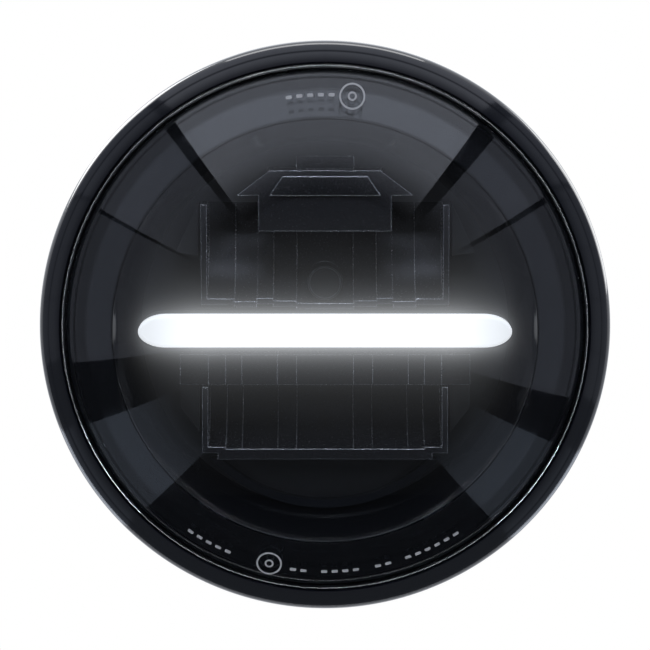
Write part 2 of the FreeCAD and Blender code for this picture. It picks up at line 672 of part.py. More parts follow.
def window_tools():
    """The two openings in the carrier's plate, for the low-beam and the high-beam optics."""
    deep = (CARRIER_PLATE_Y - WING_HEIGHT, CARRIER_PLATE_Y + CARRIER_PLATE + OVERRUN)
    low_x = LOW_COLUMNS[-1][0] + REFLECTOR_WALL + SLIP_GAP
    shelf_x = LOW_SHELF_HALF_WIDTH + SLIP_GAP
    high_x = HIGH_COLUMNS[-1][0] + REFLECTOR_WALL + SLIP_GAP
    return [
        block((-low_x, low_x), deep, (LOW_BOTTOM_Z - REFLECTOR_WALL - SLIP_GAP, LOW_TOP_Z + SLIP_GAP)),
        block((-shelf_x, shelf_x), deep, (LOW_TOP_Z, HOOD_TOP_Z + SLIP_GAP)),
        block((-high_x, high_x), deep, (HIGH_BOTTOM_Z - REFLECTOR_WALL - SLIP_GAP, CURTAIN_TOP_Z)),
    ]


def tab_places():
    """(x, z) of the reflector screws, low beam first."""
    low_x = LOW_COLUMNS[-1][0] + REFLECTOR_WALL + TAB_WIDTH / 2
    high_x = HIGH_COLUMNS[-1][0] + REFLECTOR_WALL + TAB_WIDTH / 2
    low_z = LOW_BOTTOM_Z + TAB_HEIGHT
    high_z = HIGH_TOP_Z - TAB_HEIGHT / 2
    return [(-low_x, low_z), (low_x, low_z)], [(-high_x, high_z), (high_x, high_z)]


def make_optics_carrier():
    """Black frame: a flange on the housing's bosses, a plate with two windows, and facets beside them."""
    plate_back = CARRIER_PLATE_Y + CARRIER_PLATE
    flange_front = CARRIER_SEAT_Y - CARRIER_FLANGE
    dish = turned(
        (0, CARRIER_PLATE_Y),
        (PLATE_R, CARRIER_PLATE_Y),
        (PLATE_R, flange_front),
        (BORE_R - SLIP_GAP, flange_front),
        (BORE_R - SLIP_GAP, CARRIER_SEAT_Y),
        (PLATE_R - PLATE_WALL, CARRIER_SEAT_Y),
        (PLATE_R - PLATE_WALL, plate_back),
        (0, plate_back),
    )
    low_x = LOW_COLUMNS[-1][0] + REFLECTOR_WALL + WING_GAP
    high_x = HIGH_COLUMNS[-1][0] + REFLECTOR_WALL + WING_GAP
    wing = [(low_x, LOW_TOP_Z), (low_x + WING_WIDTH, LOW_TOP_Z - WING_DROP),
            (low_x, LOW_TOP_Z - WING_DROP - WING_GAP)]
    cheek_top = CURTAIN_BOTTOM_Z - SLIP_GAP
    cheek = [(high_x, cheek_top), (CURTAIN_X, cheek_top), (CURTAIN_X, cheek_top - CHEEK_SIDE),
             (high_x, cheek_top - CHEEK_HEIGHT)]
    facets = [prism(points, (CARRIER_PLATE_Y - WING_HEIGHT, CARRIER_PLATE_Y))
              for points in (wing, mirrored(wing), cheek, mirrored(cheek))]
    holes = []
    for angle in CARRIER_SCREW_ANGLES:
        x, z = around(CARRIER_SCREW_R, angle)
        holes.append(rod(M3[0] + SCREW_GAP, (flange_front, CARRIER_SEAT_Y), x, z))
    for x, z in sum(tab_places(), []):
        holes.append(rod(M2[0] + THREAD_GAP, (plate_back - TAB_SCREW_REACH - SLIP_GAP, plate_back), x, z))
    wire_hole = rod(WIRE_PAIR_X / 2 + WIRE_R + SLIP_GAP, (CARRIER_PLATE_Y, plate_back))
    return cut(fused([dish] + facets), window_tools() + holes + [wire_hole])


def make_carrier_screws():
    """Four screws through the carrier's flange into the housing."""
    found = []
    for angle in CARRIER_SCREW_ANGLES:
        x, z = around(CARRIER_SCREW_R, angle)
        found.append(screw(M3, CARRIER_SEAT_Y - CARRIER_FLANGE, CARRIER_SEAT_Y + CARRIER_SCREW_REACH, x, z))
    return found


def make_inner_bezel():
    """Black bowl round the optics: a skirt, a domed ring band behind the lens, and a wall down to the plate."""
    t = BEZEL_THICKNESS
    outer_r = SHOULDER_R - SLIP_GAP
    crest_r = SHOULDER_R - BEZEL_CREST_IN
    front_r = DOME_R - LENS_WALL - BEZEL_LENS_GAP
    back_r = front_r - t
    lip, mouth = dome_point(OPTIC_R, front_r), (BEZEL_MOUTH_R, CARRIER_PLATE_Y)
    back_lip, back_mouth = dome_point(OPTIC_R + t, back_r), (BEZEL_MOUTH_R + t, CARRIER_PLATE_Y)
    return turned(
        (outer_r, SHOULDER_Y),
        (outer_r, BEZEL_OUTER_Y),
        dome_point(crest_r, front_r),
        dome_arc(crest_r, OPTIC_R, front_r),
        bulged(lip, mouth, BEZEL_SAG),
        back_mouth,
        bulged(back_mouth, back_lip, -BEZEL_SAG),
        dome_arc(OPTIC_R + t, crest_r, back_r),
        (outer_r - t, BEZEL_OUTER_Y + t),
        (outer_r - t, SHOULDER_Y),
    )


def make_lower_trim():
    """Glossy crescent on the plate, under the optics."""
    y = (TRIM_FRONT_Y, CARRIER_PLATE_Y)
    outer, inner = (rod(TRIM_R + side * TRIM_WIDTH / 2, y, 0, TRIM_CENTRE_Z) for side in (1, -1))
    return outer.cut(inner).common(block((-FLANGE_R, FLANGE_R), y, (-FLANGE_R, TRIM_TOP_Z)))


# ---- Reflectors ----

def ellipse_rod(depth, height, front_y, centre_z, x):
    """Elliptical cylinder along X, centred on the reflector's front edge."""
    centre = V(x[0], front_y, centre_z)
    ends = [V(x[0], front_y, centre_z + height), V(x[0], front_y + depth, centre_z)]
    major, minor = ends if height >= depth else ends[::-1]
    face = Part.Face(Part.Wire([Part.Ellipse(major, minor, centre).toShape()]))
    return face.extrude(V(x[1] - x[0], 0, 0))


def scoop(columns, depth, front_y, z, column_tops):
    """Mirror like a scoop, open to the front and top, in upright columns set in a little from each other."""
    (bottom_z, top_z), t = z, REFLECTOR_WALL
    height = top_z - bottom_z
    strips = []
    inner_x = 0.0
    for (outer_x, set_in), column_top in zip(columns, column_tops):
        inner = (depth - set_in, height - set_in)
        for x in ((inner_x, outer_x), (-outer_x, -inner_x)):
            shell = ellipse_rod(inner[0] + t, inner[1] + t, front_y, top_z, x).cut(
                ellipse_rod(*inner, front_y, top_z, x))
            strips.append(shell.common(block(x, (front_y, front_y + depth + t), (bottom_z - t, column_top))))
        inner_x = outer_x
    edge_x, set_in = columns[-1]
    for x in ((edge_x, edge_x + t), (-edge_x - t, -edge_x)):
        cheek = ellipse_rod(depth - set_in + t, height - set_in + t, front_y, top_z, x)
        room = block(x, (front_y, front_y + depth + t), (bottom_z - t, column_tops[-1]))
        strips.append(cheek.common(room))
    return strips


def screw_tabs(places):
    """Ears behind the carrier's plate, from each cheek out to its screw."""
    y = (CARRIER_PLATE_Y + CARRIER_PLATE, CARRIER_PLATE_Y + CARRIER_PLATE + TAB_THICKNESS)
    tabs, holes = [], []
    for x, z in places:
        side = 1 if x > 0 else -1
        inner = x - side * (TAB_WIDTH / 2 + REFLECTOR_WALL)
        outer = x + side * TAB_WIDTH / 2
        tabs.append(block(tuple(sorted((inner, outer))), y, (z - TAB_HEIGHT / 2, z + TAB_HEIGHT / 2)))
        holes.append(rod(M2[0] + SCREW_GAP, y, x, z))
    return tabs, holes


def make_low_reflector():
    """Low-beam mirror above the light bar, with a bore for its plug."""
    tops = [LOW_WINDOW_Z] * LOW_MIDDLE_COLUMNS + [LOW_TOP_Z] * (len(LOW_COLUMNS) - LOW_MIDDLE_COLUMNS)
    tabs, holes = screw_tabs(tab_places()[0])
    bore = rod(PLUG_R + THREAD_GAP, (LOW_FRONT_Y, LOW_FRONT_Y + LOW_DEPTH + REFLECTOR_WALL), 0, PLUG_Z)
    strips = scoop(LOW_COLUMNS, LOW_DEPTH, LOW_FRONT_Y, (LOW_BOTTOM_Z, LOW_TOP_Z), tops)
    return cut(fused(strips + tabs), holes + [bore])


def make_high_reflector():
    """High-beam mirror below the light bar, with a raised front lip."""
    tops = [HIGH_TOP_Z] * len(HIGH_COLUMNS)
    tabs, holes = screw_tabs(tab_places()[1])
    edge_x = HIGH_COLUMNS[-1][0]
    lip = block((LIP_IN - edge_x, edge_x - LIP_IN), (HIGH_FRONT_Y, HIGH_FRONT_Y + REFLECTOR_WALL),
                (HIGH_BOTTOM_Z - REFLECTOR_WALL, HIGH_BOTTOM_Z + LIP_HEIGHT))
    strips = scoop(HIGH_COLUMNS, HIGH_DEPTH, HIGH_FRONT_Y, (HIGH_BOTTOM_Z, HIGH_TOP_Z), tops)
    return cut(fused(strips + tabs + [lip]), holes)


def make_reflector_plug():
    """Round cover plug in the middle of the low-beam mirror."""
    body = rod(PLUG_R, (PLUG_FRONT_Y, PLUG_FRONT_Y + PLUG_LENGTH), 0, PLUG_Z)
    dish = rod(PLUG_R - PLUG_RIM, (PLUG_FRONT_Y, PLUG_FRONT_Y + PLUG_DIMPLE), 0, PLUG_Z)
    return body.cut(dish)


def make_reflector_screws():
    """Four small screws that pull the mirrors' ears against the carrier's plate."""
    head_y = CARRIER_PLATE_Y + CARRIER_PLATE + TAB_THICKNESS
    tip_y = CARRIER_PLATE_Y + CARRIER_PLATE - TAB_SCREW_REACH
    return [screw(M2, head_y, tip_y, x, z) for x, z in sum(tab_places(), [])]


def make_low_hood():
    """Visor in front of the low-beam emitters: a raised face, a skirt below it, a roof and a fixing tab."""
    t = HOOD_WALL
    face = [(-HOOD_BOTTOM_X, HOOD_BOTTOM_Z), (HOOD_BOTTOM_X, HOOD_BOTTOM_Z), (HOOD_TOP_X, HOOD_TOP_Z),
            (-HOOD_TOP_X, HOOD_TOP_Z)]
    visor = prism(face, (HOOD_FRONT_Y, HOOD_FRONT_Y + t))
    roof = block((-HOOD_TOP_X, HOOD_TOP_X), (HOOD_FRONT_Y, CARRIER_PLATE_Y), (HOOD_TOP_Z - t, HOOD_TOP_Z))
    tab_z = (HOOD_TOP_Z - t, HOOD_TOP_Z + HOOD_TAB_HEIGHT)
    tab = block((-HOOD_TAB_X, HOOD_TAB_X), (CARRIER_PLATE_Y - t, CARRIER_PLATE_Y), tab_z)
    raised = [(-HOOD_TOP_X, HOOD_BOTTOM_Z), (HOOD_TOP_X, HOOD_BOTTOM_Z), (HOOD_CROWN_X, HOOD_CROWN_Z),
              (-HOOD_CROWN_X, HOOD_CROWN_Z)]
    crown = prism(raised, (HOOD_FRONT_Y - HOOD_CROWN_RISE, HOOD_FRONT_Y))
    skirt_x = LOW_COLUMNS[LOW_MIDDLE_COLUMNS - 1][0] - HOOD_SKIRT_GAP
    skirt = block((-skirt_x, skirt_x), (HOOD_FRONT_Y, HOOD_FRONT_Y + t), (LOW_WINDOW_Z, HOOD_BOTTOM_Z))
    return fused([visor, roof, tab, crown, skirt])


def make_high_curtain():
    """Screen in front of the high-beam emitters, in upright panels, with a roof back to the carrier."""
    t = CURTAIN_WALL
    panels = []
    inner_x = 0.0
    for outer_x, set_back in CURTAIN_COLUMNS + ((CURTAIN_X, 1.0),):
        y = (CURTAIN_FRONT_Y + set_back, CURTAIN_FRONT_Y + set_back + t)
        for x in ((inner_x, outer_x), (-outer_x, -inner_x)):
            panels.append(block(x, y, (CURTAIN_BOTTOM_Z, CURTAIN_TOP_Z + t)))
        inner_x = outer_x
    roof_y = (CURTAIN_FRONT_Y + t, CARRIER_PLATE_Y)
    roof = block((-CURTAIN_X, CURTAIN_X), roof_y, (CURTAIN_TOP_Z, CURTAIN_TOP_Z + t))
    return fused(panels + [roof])


# ---- Light bar ----

def bar_outline(inset, y):
    """Solid with the light bar's outline: long, with elliptical ends, set in all round."""
    half_length, half_height = BAR_HALF_LENGTH - inset, BAR_HALF_HEIGHT - inset
    end = BAR_END_LENGTH - inset
    middle = block((-half_length + end, half_length - end), y, (-half_height, half_height))
    ends = []
    for x in (-half_length + end, half_length - end):
        side = 1 if x > 0 else -1
        ellipse = Part.Ellipse(V(x + side * end, y[0], 0), V(x, y[0], half_height), V(x, y[0], 0))
        ends.append(Part.Face(Part.Wire([ellipse.toShape()])).extrude(V(0, y[1] - y[0], 0)))
    return fused([middle] + ends)


def make_bar_diffuser():
    """Opal light bar, with a step that sits in the channel's mouth."""
    body = bar_outline(0.0, (BAR_FRONT_Y, BAR_BACK_Y))
    step = bar_outline(CHANNEL_BAR_WALL + THREAD_GAP, (BAR_BACK_Y, BAR_BACK_Y + BAR_TONGUE))
    front_edges = [e for e in body.Edges if abs(e.CenterOfMass.y - BAR_FRONT_Y) < 0.01]
    return body.makeFillet(BAR_EDGE_R, front_edges).fuse(step).removeSplitter()


def make_bar_channel():
    """Black trough behind the light bar, on three feet."""
    body = bar_outline(0.0, (BAR_BACK_Y, CHANNEL_BACK_Y))
    room = bar_outline(CHANNEL_BAR_WALL, (BAR_BACK_Y, CHANNEL_BACK_Y - CHANNEL_BAR_WALL))
    feet = [block((x - FOOT_WIDTH / 2, x + FOOT_WIDTH / 2), (CHANNEL_BACK_Y, CARRIER_PLATE_Y),
                  (-FOOT_HEIGHT / 2, FOOT_HEIGHT / 2)) for x in FOOT_X]
    wire_hole = rod(WIRE_PAIR_X / 2 + WIRE_R + SLIP_GAP, (BAR_BACK_Y, CARRIER_PLATE_Y))
    return cut(fused([body.cut(room)] + feet), [wire_hole])


def bar_board_y():
    """(front, back) of the light bar's circuit board."""
    back = CHANNEL_BACK_Y - CHANNEL_BAR_WALL
    return back - BAR_BOARD_THICKNESS, back


def make_bar_board():
    """Strip board in the bottom of the trough."""
    half_height = BAR_HALF_HEIGHT - CHANNEL_BAR_WALL - SLIP_GAP
    return block((-BAR_BOARD_HALF_LENGTH, BAR_BOARD_HALF_LENGTH), bar_board_y(), (-half_height, half_height))


def make_bar_leds():
    """Row of emitters on the strip board."""
    width, thickness, height = BAR_LED_SIZE
    front = bar_board_y()[0]
    found = []
    for k in range(BAR_LED_COUNT):
        x = (k - (BAR_LED_COUNT - 1) / 2) * BAR_LED_PITCH
        size = ((x - width / 2, x + width / 2), (front - thickness, front), (-height / 2, height / 2))
        found.append(block(*size))
    return found


# ---- Bracket, boards and emitters ----

def make_led_bracket():
    """Aluminium bracket: back plate on the heat sink and two shelves that carry the emitter boards."""
    shelf_y = (SHELF_FRONT_Y, BRACKET_Y)
    wide, narrow = (-BRACKET_HALF_WIDTH, BRACKET_HALF_WIDTH), (-LOW_SHELF_HALF_WIDTH, LOW_SHELF_HALF_WIDTH)
    plate = block(wide, (BRACKET_Y, SINK_Y), (BRACKET_BOTTOM_Z, BRACKET_TOP_Z))
    low = block(narrow, shelf_y, (LOW_SHELF_Z, LOW_SHELF_Z + SHELF_THICKNESS))
    high = block(wide, shelf_y, (HIGH_SHELF_Z, HIGH_SHELF_Z + SHELF_THICKNESS))
    holes = [rod(INLET_BORE_R, (BRACKET_Y, SINK_Y))]
    for x in (-BRACKET_SCREW_X, BRACKET_SCREW_X):
        for z in BRACKET_SCREW_Z:
            holes.append(rod(M3[0] + SCREW_GAP, (BRACKET_Y, SINK_Y), x, z))
    slot_x = (HIGH_EMITTER_X[-1] - SHELF_SLOT_HALF_X, HIGH_EMITTER_X[-1] + SHELF_SLOT_HALF_X)
    slot_y = (WIRE_TURN_Y - 1.5 * WIRE_BEND_R, WIRE_TURN_Y + 1.5 * WIRE_BEND_R)
    holes.append(block(slot_x, slot_y, (HIGH_SHELF_Z, HIGH_SHELF_Z + SHELF_THICKNESS)))
    for shelf_z, xs in ((LOW_SHELF_Z, board_screw_x(LOW_BOARD_HALF_WIDTH)),
                        (HIGH_SHELF_Z, board_screw_x(HIGH_BOARD_HALF_WIDTH))):
        for x in xs:
            holes.append(Part.makeCylinder(M2[0] + THREAD_GAP, SHELF_THICKNESS, V(x, EMITTER_Y, shelf_z)))
    return cut(fused([plate, low, high]), holes)


def board_screw_x(half_width):
    """x of the two screws of an emitter board."""
    return -half_width + BOARD_SCREW_INSET, half_width - BOARD_SCREW_INSET


def board_stack(shelf_z, half_width):
    """(pad, board) under a shelf, with their screw holes."""
    x, y = (-half_width, half_width), (SHELF_FRONT_Y, SHELF_FRONT_Y + LED_BOARD_DEPTH)
    pad_z = shelf_z - PAD_THICKNESS
    board_z = pad_z - LED_BOARD_THICKNESS
    holes = [Part.makeCylinder(M2[0] + SCREW_GAP, shelf_z - board_z, V(hx, EMITTER_Y, board_z))
             for hx in board_screw_x(half_width)]
    return cut(block(x, y, (pad_z, shelf_z)), holes), cut(block(x, y, (board_z, pad_z)), holes)


def emitters(shelf_z, places):
    """Emitters under a board, facing down into the mirror."""
    width, depth, height = EMITTER_SIZE
    top = shelf_z - PAD_THICKNESS - LED_BOARD_THICKNESS
    y = (EMITTER_Y - depth / 2, EMITTER_Y + depth / 2)
    return [block((x - width / 2, x + width / 2), y, (top - height, top)) for x in places]


def make_board_screws():
    """Screws that hold both emitter boards up against their shelves."""
    found = []
    for shelf_z, half_width in ((LOW_SHELF_Z, LOW_BOARD_HALF_WIDTH), (HIGH_SHELF_Z, HIGH_BOARD_HALF_WIDTH)):
        for x in board_screw_x(half_width):
            one = screw(M2, 0.0, PAD_THICKNESS + LED_BOARD_THICKNESS + SHELF_THICKNESS - TIP_ROOM / 2, 0, 0)
            one.rotate(ORIGIN, V(1, 0, 0), 90)
            one.translate(V(x, EMITTER_Y, shelf_z - PAD_THICKNESS - LED_BOARD_THICKNESS))
            found.append(one)
    return found


def make_bracket_screws():
    """Four screws that hold the bracket to the heat sink."""
    return [screw(M3, BRACKET_Y, SINK_Y + BRACKET_SCREW_REACH, x, z)
            for x in (-BRACKET_SCREW_X, BRACKET_SCREW_X) for z in BRACKET_SCREW_Z]


# ---- Driver ----

def driver_places():
    """(x, z) of the driver board's four screws."""
    return [(x, z) for x in (-DRIVER_SCREW_X, DRIVER_SCREW_X) for z in DRIVER_SCREW_Z]


def make_driver_board():
    """Circuit board that feeds the emitters."""
    y = (DRIVER_Y, DRIVER_Y + DRIVER_THICKNESS)
    board = block((-DRIVER_HALF_WIDTH, DRIVER_HALF_WIDTH), y, (DRIVER_BOTTOM_Z, DRIVER_TOP_Z))
    return cut(board, [rod(M3[0] + SCREW_GAP, y, x, z) for x, z in driver_places()])


def make_driver_standoffs():
    """Threaded pillars between the driver board and the bracket."""
    y = (DRIVER_Y + DRIVER_THICKNESS, BRACKET_Y)
    found = []
    for x, z in driver_places():
        hexagon = prism([(x + cx, z + cz) for cx, cz in (around(STANDOFF_R, 60 * k) for k in range(6))], y)
        found.append(hexagon.cut(rod(M3[0] + THREAD_GAP, y, x, z)))
    return found


def make_driver_screws():
    """Four screws from the front of the driver board into its pillars."""
    return [screw(M3, DRIVER_Y, BRACKET_Y - TIP_ROOM, x, z) for x, z in driver_places()]


def make_driver_capacitors():
    """Two electrolytic cans on the back of the driver board."""
    start = DRIVER_Y + DRIVER_THICKNESS
    found = []
    for x in CAPACITOR_X:
        can = rod(CAPACITOR_R, (start, start + CAPACITOR_LENGTH), x, CAPACITOR_Z)
        found.append(can.makeFillet(CAPACITOR_R / 6, [can.Edges[0], can.Edges[2]]))
    return found


def make_driver_inductors():
    """Two wound inductors: a square base, a round core and a flange."""
    start = DRIVER_Y + DRIVER_THICKNESS
    found = []
    half, rim = INDUCTOR_WIDTH / 2, INDUCTOR_RIM
    for x in INDUCTOR_X:
        base = block((x - half, x + half), (start, start + rim), (INDUCTOR_Z - half, INDUCTOR_Z + half))
        core = rod(half - rim / 2, (start, start + INDUCTOR_LENGTH), x, INDUCTOR_Z)
        top = rod(half, (start + INDUCTOR_LENGTH - rim, start + INDUCTOR_LENGTH), x, INDUCTOR_Z)
        found.append(fused([base, core, top]))
    return found


def make_driver_chips():
    """Controller and power transistors."""
    start = DRIVER_Y + DRIVER_THICKNESS
    y = (start, start + CHIP_HEIGHT)
    return [block((x - width / 2, x + width / 2), y, (CHIP_Z - height / 2, CHIP_Z + height / 2))
            for x, width, height in CHIPS]


# ---- Wires ----

def make_low_wires():
    """Pair from the low-beam board down to the driver."""
    z = LOW_SHELF_Z - PAD_THICKNESS - LED_BOARD_THICKNESS / 2
    start = SHELF_FRONT_Y + LED_BOARD_DEPTH
    x = LOW_EMITTER_X[-1]
    low = z - WIRE_DROP
    return wire_pair([(x, start, z), (x, WIRE_TURN_Y, z), (x, WIRE_TURN_Y, low), (x, DRIVER_Y, low)])


def make_high_wires():
    """Pair from the high-beam board up through the shelf's slot to the driver."""
    z = HIGH_SHELF_Z - PAD_THICKNESS - LED_BOARD_THICKNESS / 2
    start = SHELF_FRONT_Y + LED_BOARD_DEPTH
    x = HIGH_EMITTER_X[-1]
    top = DRIVER_BOTTOM_Z + HIGH_WIRE_RISE
    return wire_pair([(x, start, z), (x, WIRE_TURN_Y, z), (x, WIRE_TURN_Y, top), (x, DRIVER_Y, top)])


def make_bar_wires():
    """Pair from the light bar's board straight back to the driver."""
    return wire_pair([(0, bar_board_y()[1], 0), (0, DRIVER_Y, 0)])


def make_inlet_leads():
    """Three short leads from the blades to the driver board."""
    start, end = DRIVER_Y + DRIVER_THICKNESS, INLET_Y + INLET_GASKET - INLET_NECK_LENGTH - BLADE_TAIL
    places = ((-BLADE_SIDE_X, BLADE_SIDE_Z), (BLADE_SIDE_X, BLADE_SIDE_Z), (0.0, BLADE_TOP_Z))
    return [rod(WIRE_R, (start, end), x, z) for x, z in places]


def make_parts():
    """Every piece by name."""
    low_pad, low_board = board_stack(LOW_SHELF_Z, LOW_BOARD_HALF_WIDTH)
    high_pad, high_board = board_stack(HIGH_SHELF_Z, HIGH_BOARD_HALF_WIDTH)
    return {
        "lens": make_lens(),
        "lens_seal": make_lens_seal(),
        "bezel_ring": make_bezel_ring(),
        "housing": make_housing(),
        "rear_gasket": make_rear_gasket(),
        "heat_sink": make_heat_sink(),
        "rear_screws": make_rear_screws(),
        "terminal_base": make_terminal_base(),
        "terminal_blades": make_terminal_blades(),
        "terminal_gasket": make_terminal_gasket(),
        "terminal_screws": make_terminal_screws(),
        "vent_cap": make_vent_cap(),
        "vent_membrane": make_vent_membrane(),
        "optics_carrier": make_optics_carrier(),
        "carrier_screws": make_carrier_screws(),
        "inner_bezel": make_inner_bezel(),
        "lower_trim": make_lower_trim(),
        "low_reflector": make_low_reflector(),
        "reflector_plug": make_reflector_plug(),
        "low_hood": make_low_hood(),
        "high_reflector": make_high_reflector(),
        "high_curtain": make_high_curtain(),
        "reflector_screws": make_reflector_screws(),
        "bar_diffuser": make_bar_diffuser(),
        "bar_channel": make_bar_channel(),
        "bar_board": make_bar_board(),
        "bar_leds": make_bar_leds(),
        "led_bracket": make_led_bracket(),
        "bracket_screws": make_bracket_screws(),
        "low_thermal_pad": low_pad,
        "low_led_board": low_board,
        "low_leds": emitters(LOW_SHELF_Z, LOW_EMITTER_X),
        "high_thermal_pad": high_pad,
        "high_led_board": high_board,
        "high_leds": emitters(HIGH_SHELF_Z, HIGH_EMITTER_X),
        "board_screws": make_board_screws(),
        "driver_board": make_driver_board(),
        "driver_standoffs": make_driver_standoffs(),
        "driver_screws": make_driver_screws(),
        "driver_capacitors": make_driver_capacitors(),
        "driver_inductors": make_driver_inductors(),
        "driver_chips": make_driver_chips(),
        "low_wires": make_low_wires(),
        "high_wires": make_high_wires(),
        "bar_wires": make_bar_wires(),
        "inlet_leads": make_inlet_leads(),
    }


def main():
    """Builds every piece, checks that each solid is valid and writes one STEP file per piece."""
    os.makedirs("parts", exist_ok=True)
    for name, made in make_parts().items():
        shape = Part.makeCompound(made) if isinstance(made, list) else made
        solids = shape.Solids
        if not solids or not all(s.isValid() and s.Volume > 0 for s in solids):
            raise ValueError(f"{name} has no valid solid")
        if len(solids) == 1:
            shape = solids[0]
        shape.exportStep(f"parts/{name}.step")
        print(f"{name}: {len(solids)} solid(s), {sum(s.Volume for s in solids) / 1000:.2f} cm3")


main()
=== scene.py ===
import logging
import math
from dataclasses import dataclass
from enum import Enum
from typing import Optional, Sequence

import bmesh
import bpy
from mathutils import Matrix, Vector


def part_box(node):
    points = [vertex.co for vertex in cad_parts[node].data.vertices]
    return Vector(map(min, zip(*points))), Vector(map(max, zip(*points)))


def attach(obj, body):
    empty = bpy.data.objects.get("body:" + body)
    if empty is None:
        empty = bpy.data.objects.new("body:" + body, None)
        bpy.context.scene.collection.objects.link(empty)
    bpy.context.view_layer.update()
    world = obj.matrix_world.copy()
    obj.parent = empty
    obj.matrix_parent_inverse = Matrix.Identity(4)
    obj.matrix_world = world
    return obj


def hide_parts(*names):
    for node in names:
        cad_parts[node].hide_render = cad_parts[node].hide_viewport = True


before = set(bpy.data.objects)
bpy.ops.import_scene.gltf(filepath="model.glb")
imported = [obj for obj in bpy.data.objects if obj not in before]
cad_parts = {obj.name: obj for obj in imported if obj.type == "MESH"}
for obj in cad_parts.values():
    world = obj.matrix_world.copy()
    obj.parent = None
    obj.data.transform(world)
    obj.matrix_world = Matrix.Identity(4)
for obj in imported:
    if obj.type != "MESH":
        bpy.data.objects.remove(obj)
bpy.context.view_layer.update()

MM = 0.001
LOG = logging.getLogger("headlamp")
Pair = tuple[float, float]
HIGHLIGHT_EDGE_COSINES: Pair = (0.998, 0.93)  # of rounded to flat normal: where an edge's painted highlight starts, and is full


# ---------------------------------------------------------------- shared helpers

def linear(code: str, alpha: float = 1.0) -> tuple[float, float, float, float]:
    """Turns an sRGB hex colour into linear light.

    Args:
        code: six hex digits.
        alpha: opacity, passed through.

    Returns:
        Red, green, blue and alpha.
    """
    def channel(pair: str) -> float:
        """Turns one channel into light, by the sRGB curve.

        Args:
            pair: its two hex digits.

        Returns:
            Its light, 0 to 1.
        """
        value = int(pair, 16) / 255
        return value / 12.92 if value <= 0.04045 else ((value + 0.055) / 1.055) ** 2.4
    return channel(code[0:2]), channel(code[2:4]), channel(code[4:6]), alpha


def add(tree: bpy.types.NodeTree, kind: str, sockets: Optional[dict] = None,
        **settings: object) -> bpy.types.Node:
    """Adds a node with its settings, values and links.

    Args:
        tree: node tree that takes the node.
        kind: Blender's name for the node.
        sockets: input name or index, to a value or to another node's output.
        **settings: the node's own properties.

    Returns:
        The node.
    """
    node = tree.nodes.new(kind)
    for name, value in settings.items():
        setattr(node, name, value)
    for name, value in (sockets or {}).items():
        if isinstance(value, bpy.types.NodeSocket):
            tree.links.new(value, node.inputs[name])
        else:
            node.inputs[name].default_value = value
    return node


def maths(tree: bpy.types.NodeTree, operation: str, *values: object) -> bpy.types.NodeSocket:
    """Adds one step of arithmetic.

    Args:
        tree: node tree that takes it.
        operation: Blender's name for the step.
        *values: its numbers or sockets, in order.

    Returns:
        The result's socket.
    """
    return add(tree, "ShaderNodeMath", dict(enumerate(values)), operation=operation).outputs[0]


def ramp(tree: bpy.types.NodeTree, value: bpy.types.NodeSocket, span: Pair, levels: Pair,
         smooth: bool = False) -> bpy.types.NodeSocket:
    """Adds a ramp that is held at both ends.

    Args:
        tree: node tree that takes it.
        value: what it reads.
        span: values where it starts and ends.
        levels: what it gives there.
        smooth: eases in and out.

    Returns:
        The result's socket.
    """
    kind = "SMOOTHSTEP" if smooth else "LINEAR"
    return add(tree, "ShaderNodeMapRange", {
        "Value": value, "From Min": span[0], "From Max": span[1], "To Min": levels[0], "To Max": levels[1]},
        interpolation_type=kind).outputs["Result"]


def noise(tree: bpy.types.NodeTree, size_mm: float, detail: float) -> bpy.types.NodeSocket:
    """Adds a noise that is fixed to the piece.

    Args:
        tree: node tree that takes it.
        size_mm: size of its patches.
        detail: how many finer layers it has.

    Returns:
        The socket of its level, 0 to 1.
    """
    place = add(tree, "ShaderNodeTexCoord").outputs["Object"]
    return add(tree, "ShaderNodeTexNoise", {"Vector": place, "Scale": 1 / (size_mm * MM), "Detail": detail}
               ).outputs["Fac"]


def new_material(name: str) -> bpy.types.Material:
    """Makes an empty node material.

    Args:
        name: its name.

    Returns:
        The material.
    """
    material = bpy.data.materials.new(name)
    material.use_nodes = True
    material.node_tree.nodes.clear()
    return material


def finished(name: str, bm: bmesh.types.BMesh, material: bpy.types.Material, sharp_deg: float = 30.0,
             replaces: Sequence[str] = ()) -> bpy.types.Object:
    """Turns a bmesh into a finished piece that rides on the lamp.

    Args:
        name: piece name.
        bm: mesh in metres, in place. It is freed.
        material: its finish.
        sharp_deg: edges that turn more than this stay crisp.
        replaces: CAD nodes that it stands for.

    Returns:
        The new object.
    """
    mesh = bpy.data.meshes.new(name)
    bm.to_mesh(mesh)
    bm.free()
    mesh.shade_smooth()
    mesh.set_sharp_from_angle(angle=math.radians(sharp_deg))
    mesh.materials.append(material)
    piece = bpy.data.objects.new(name, mesh)
    bpy.context.scene.collection.objects.link(piece)
    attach(piece, "root")
    if replaces:
        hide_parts(*replaces)
    LOG.info("%s: %d faces", name, len(mesh.polygons))
    return piece


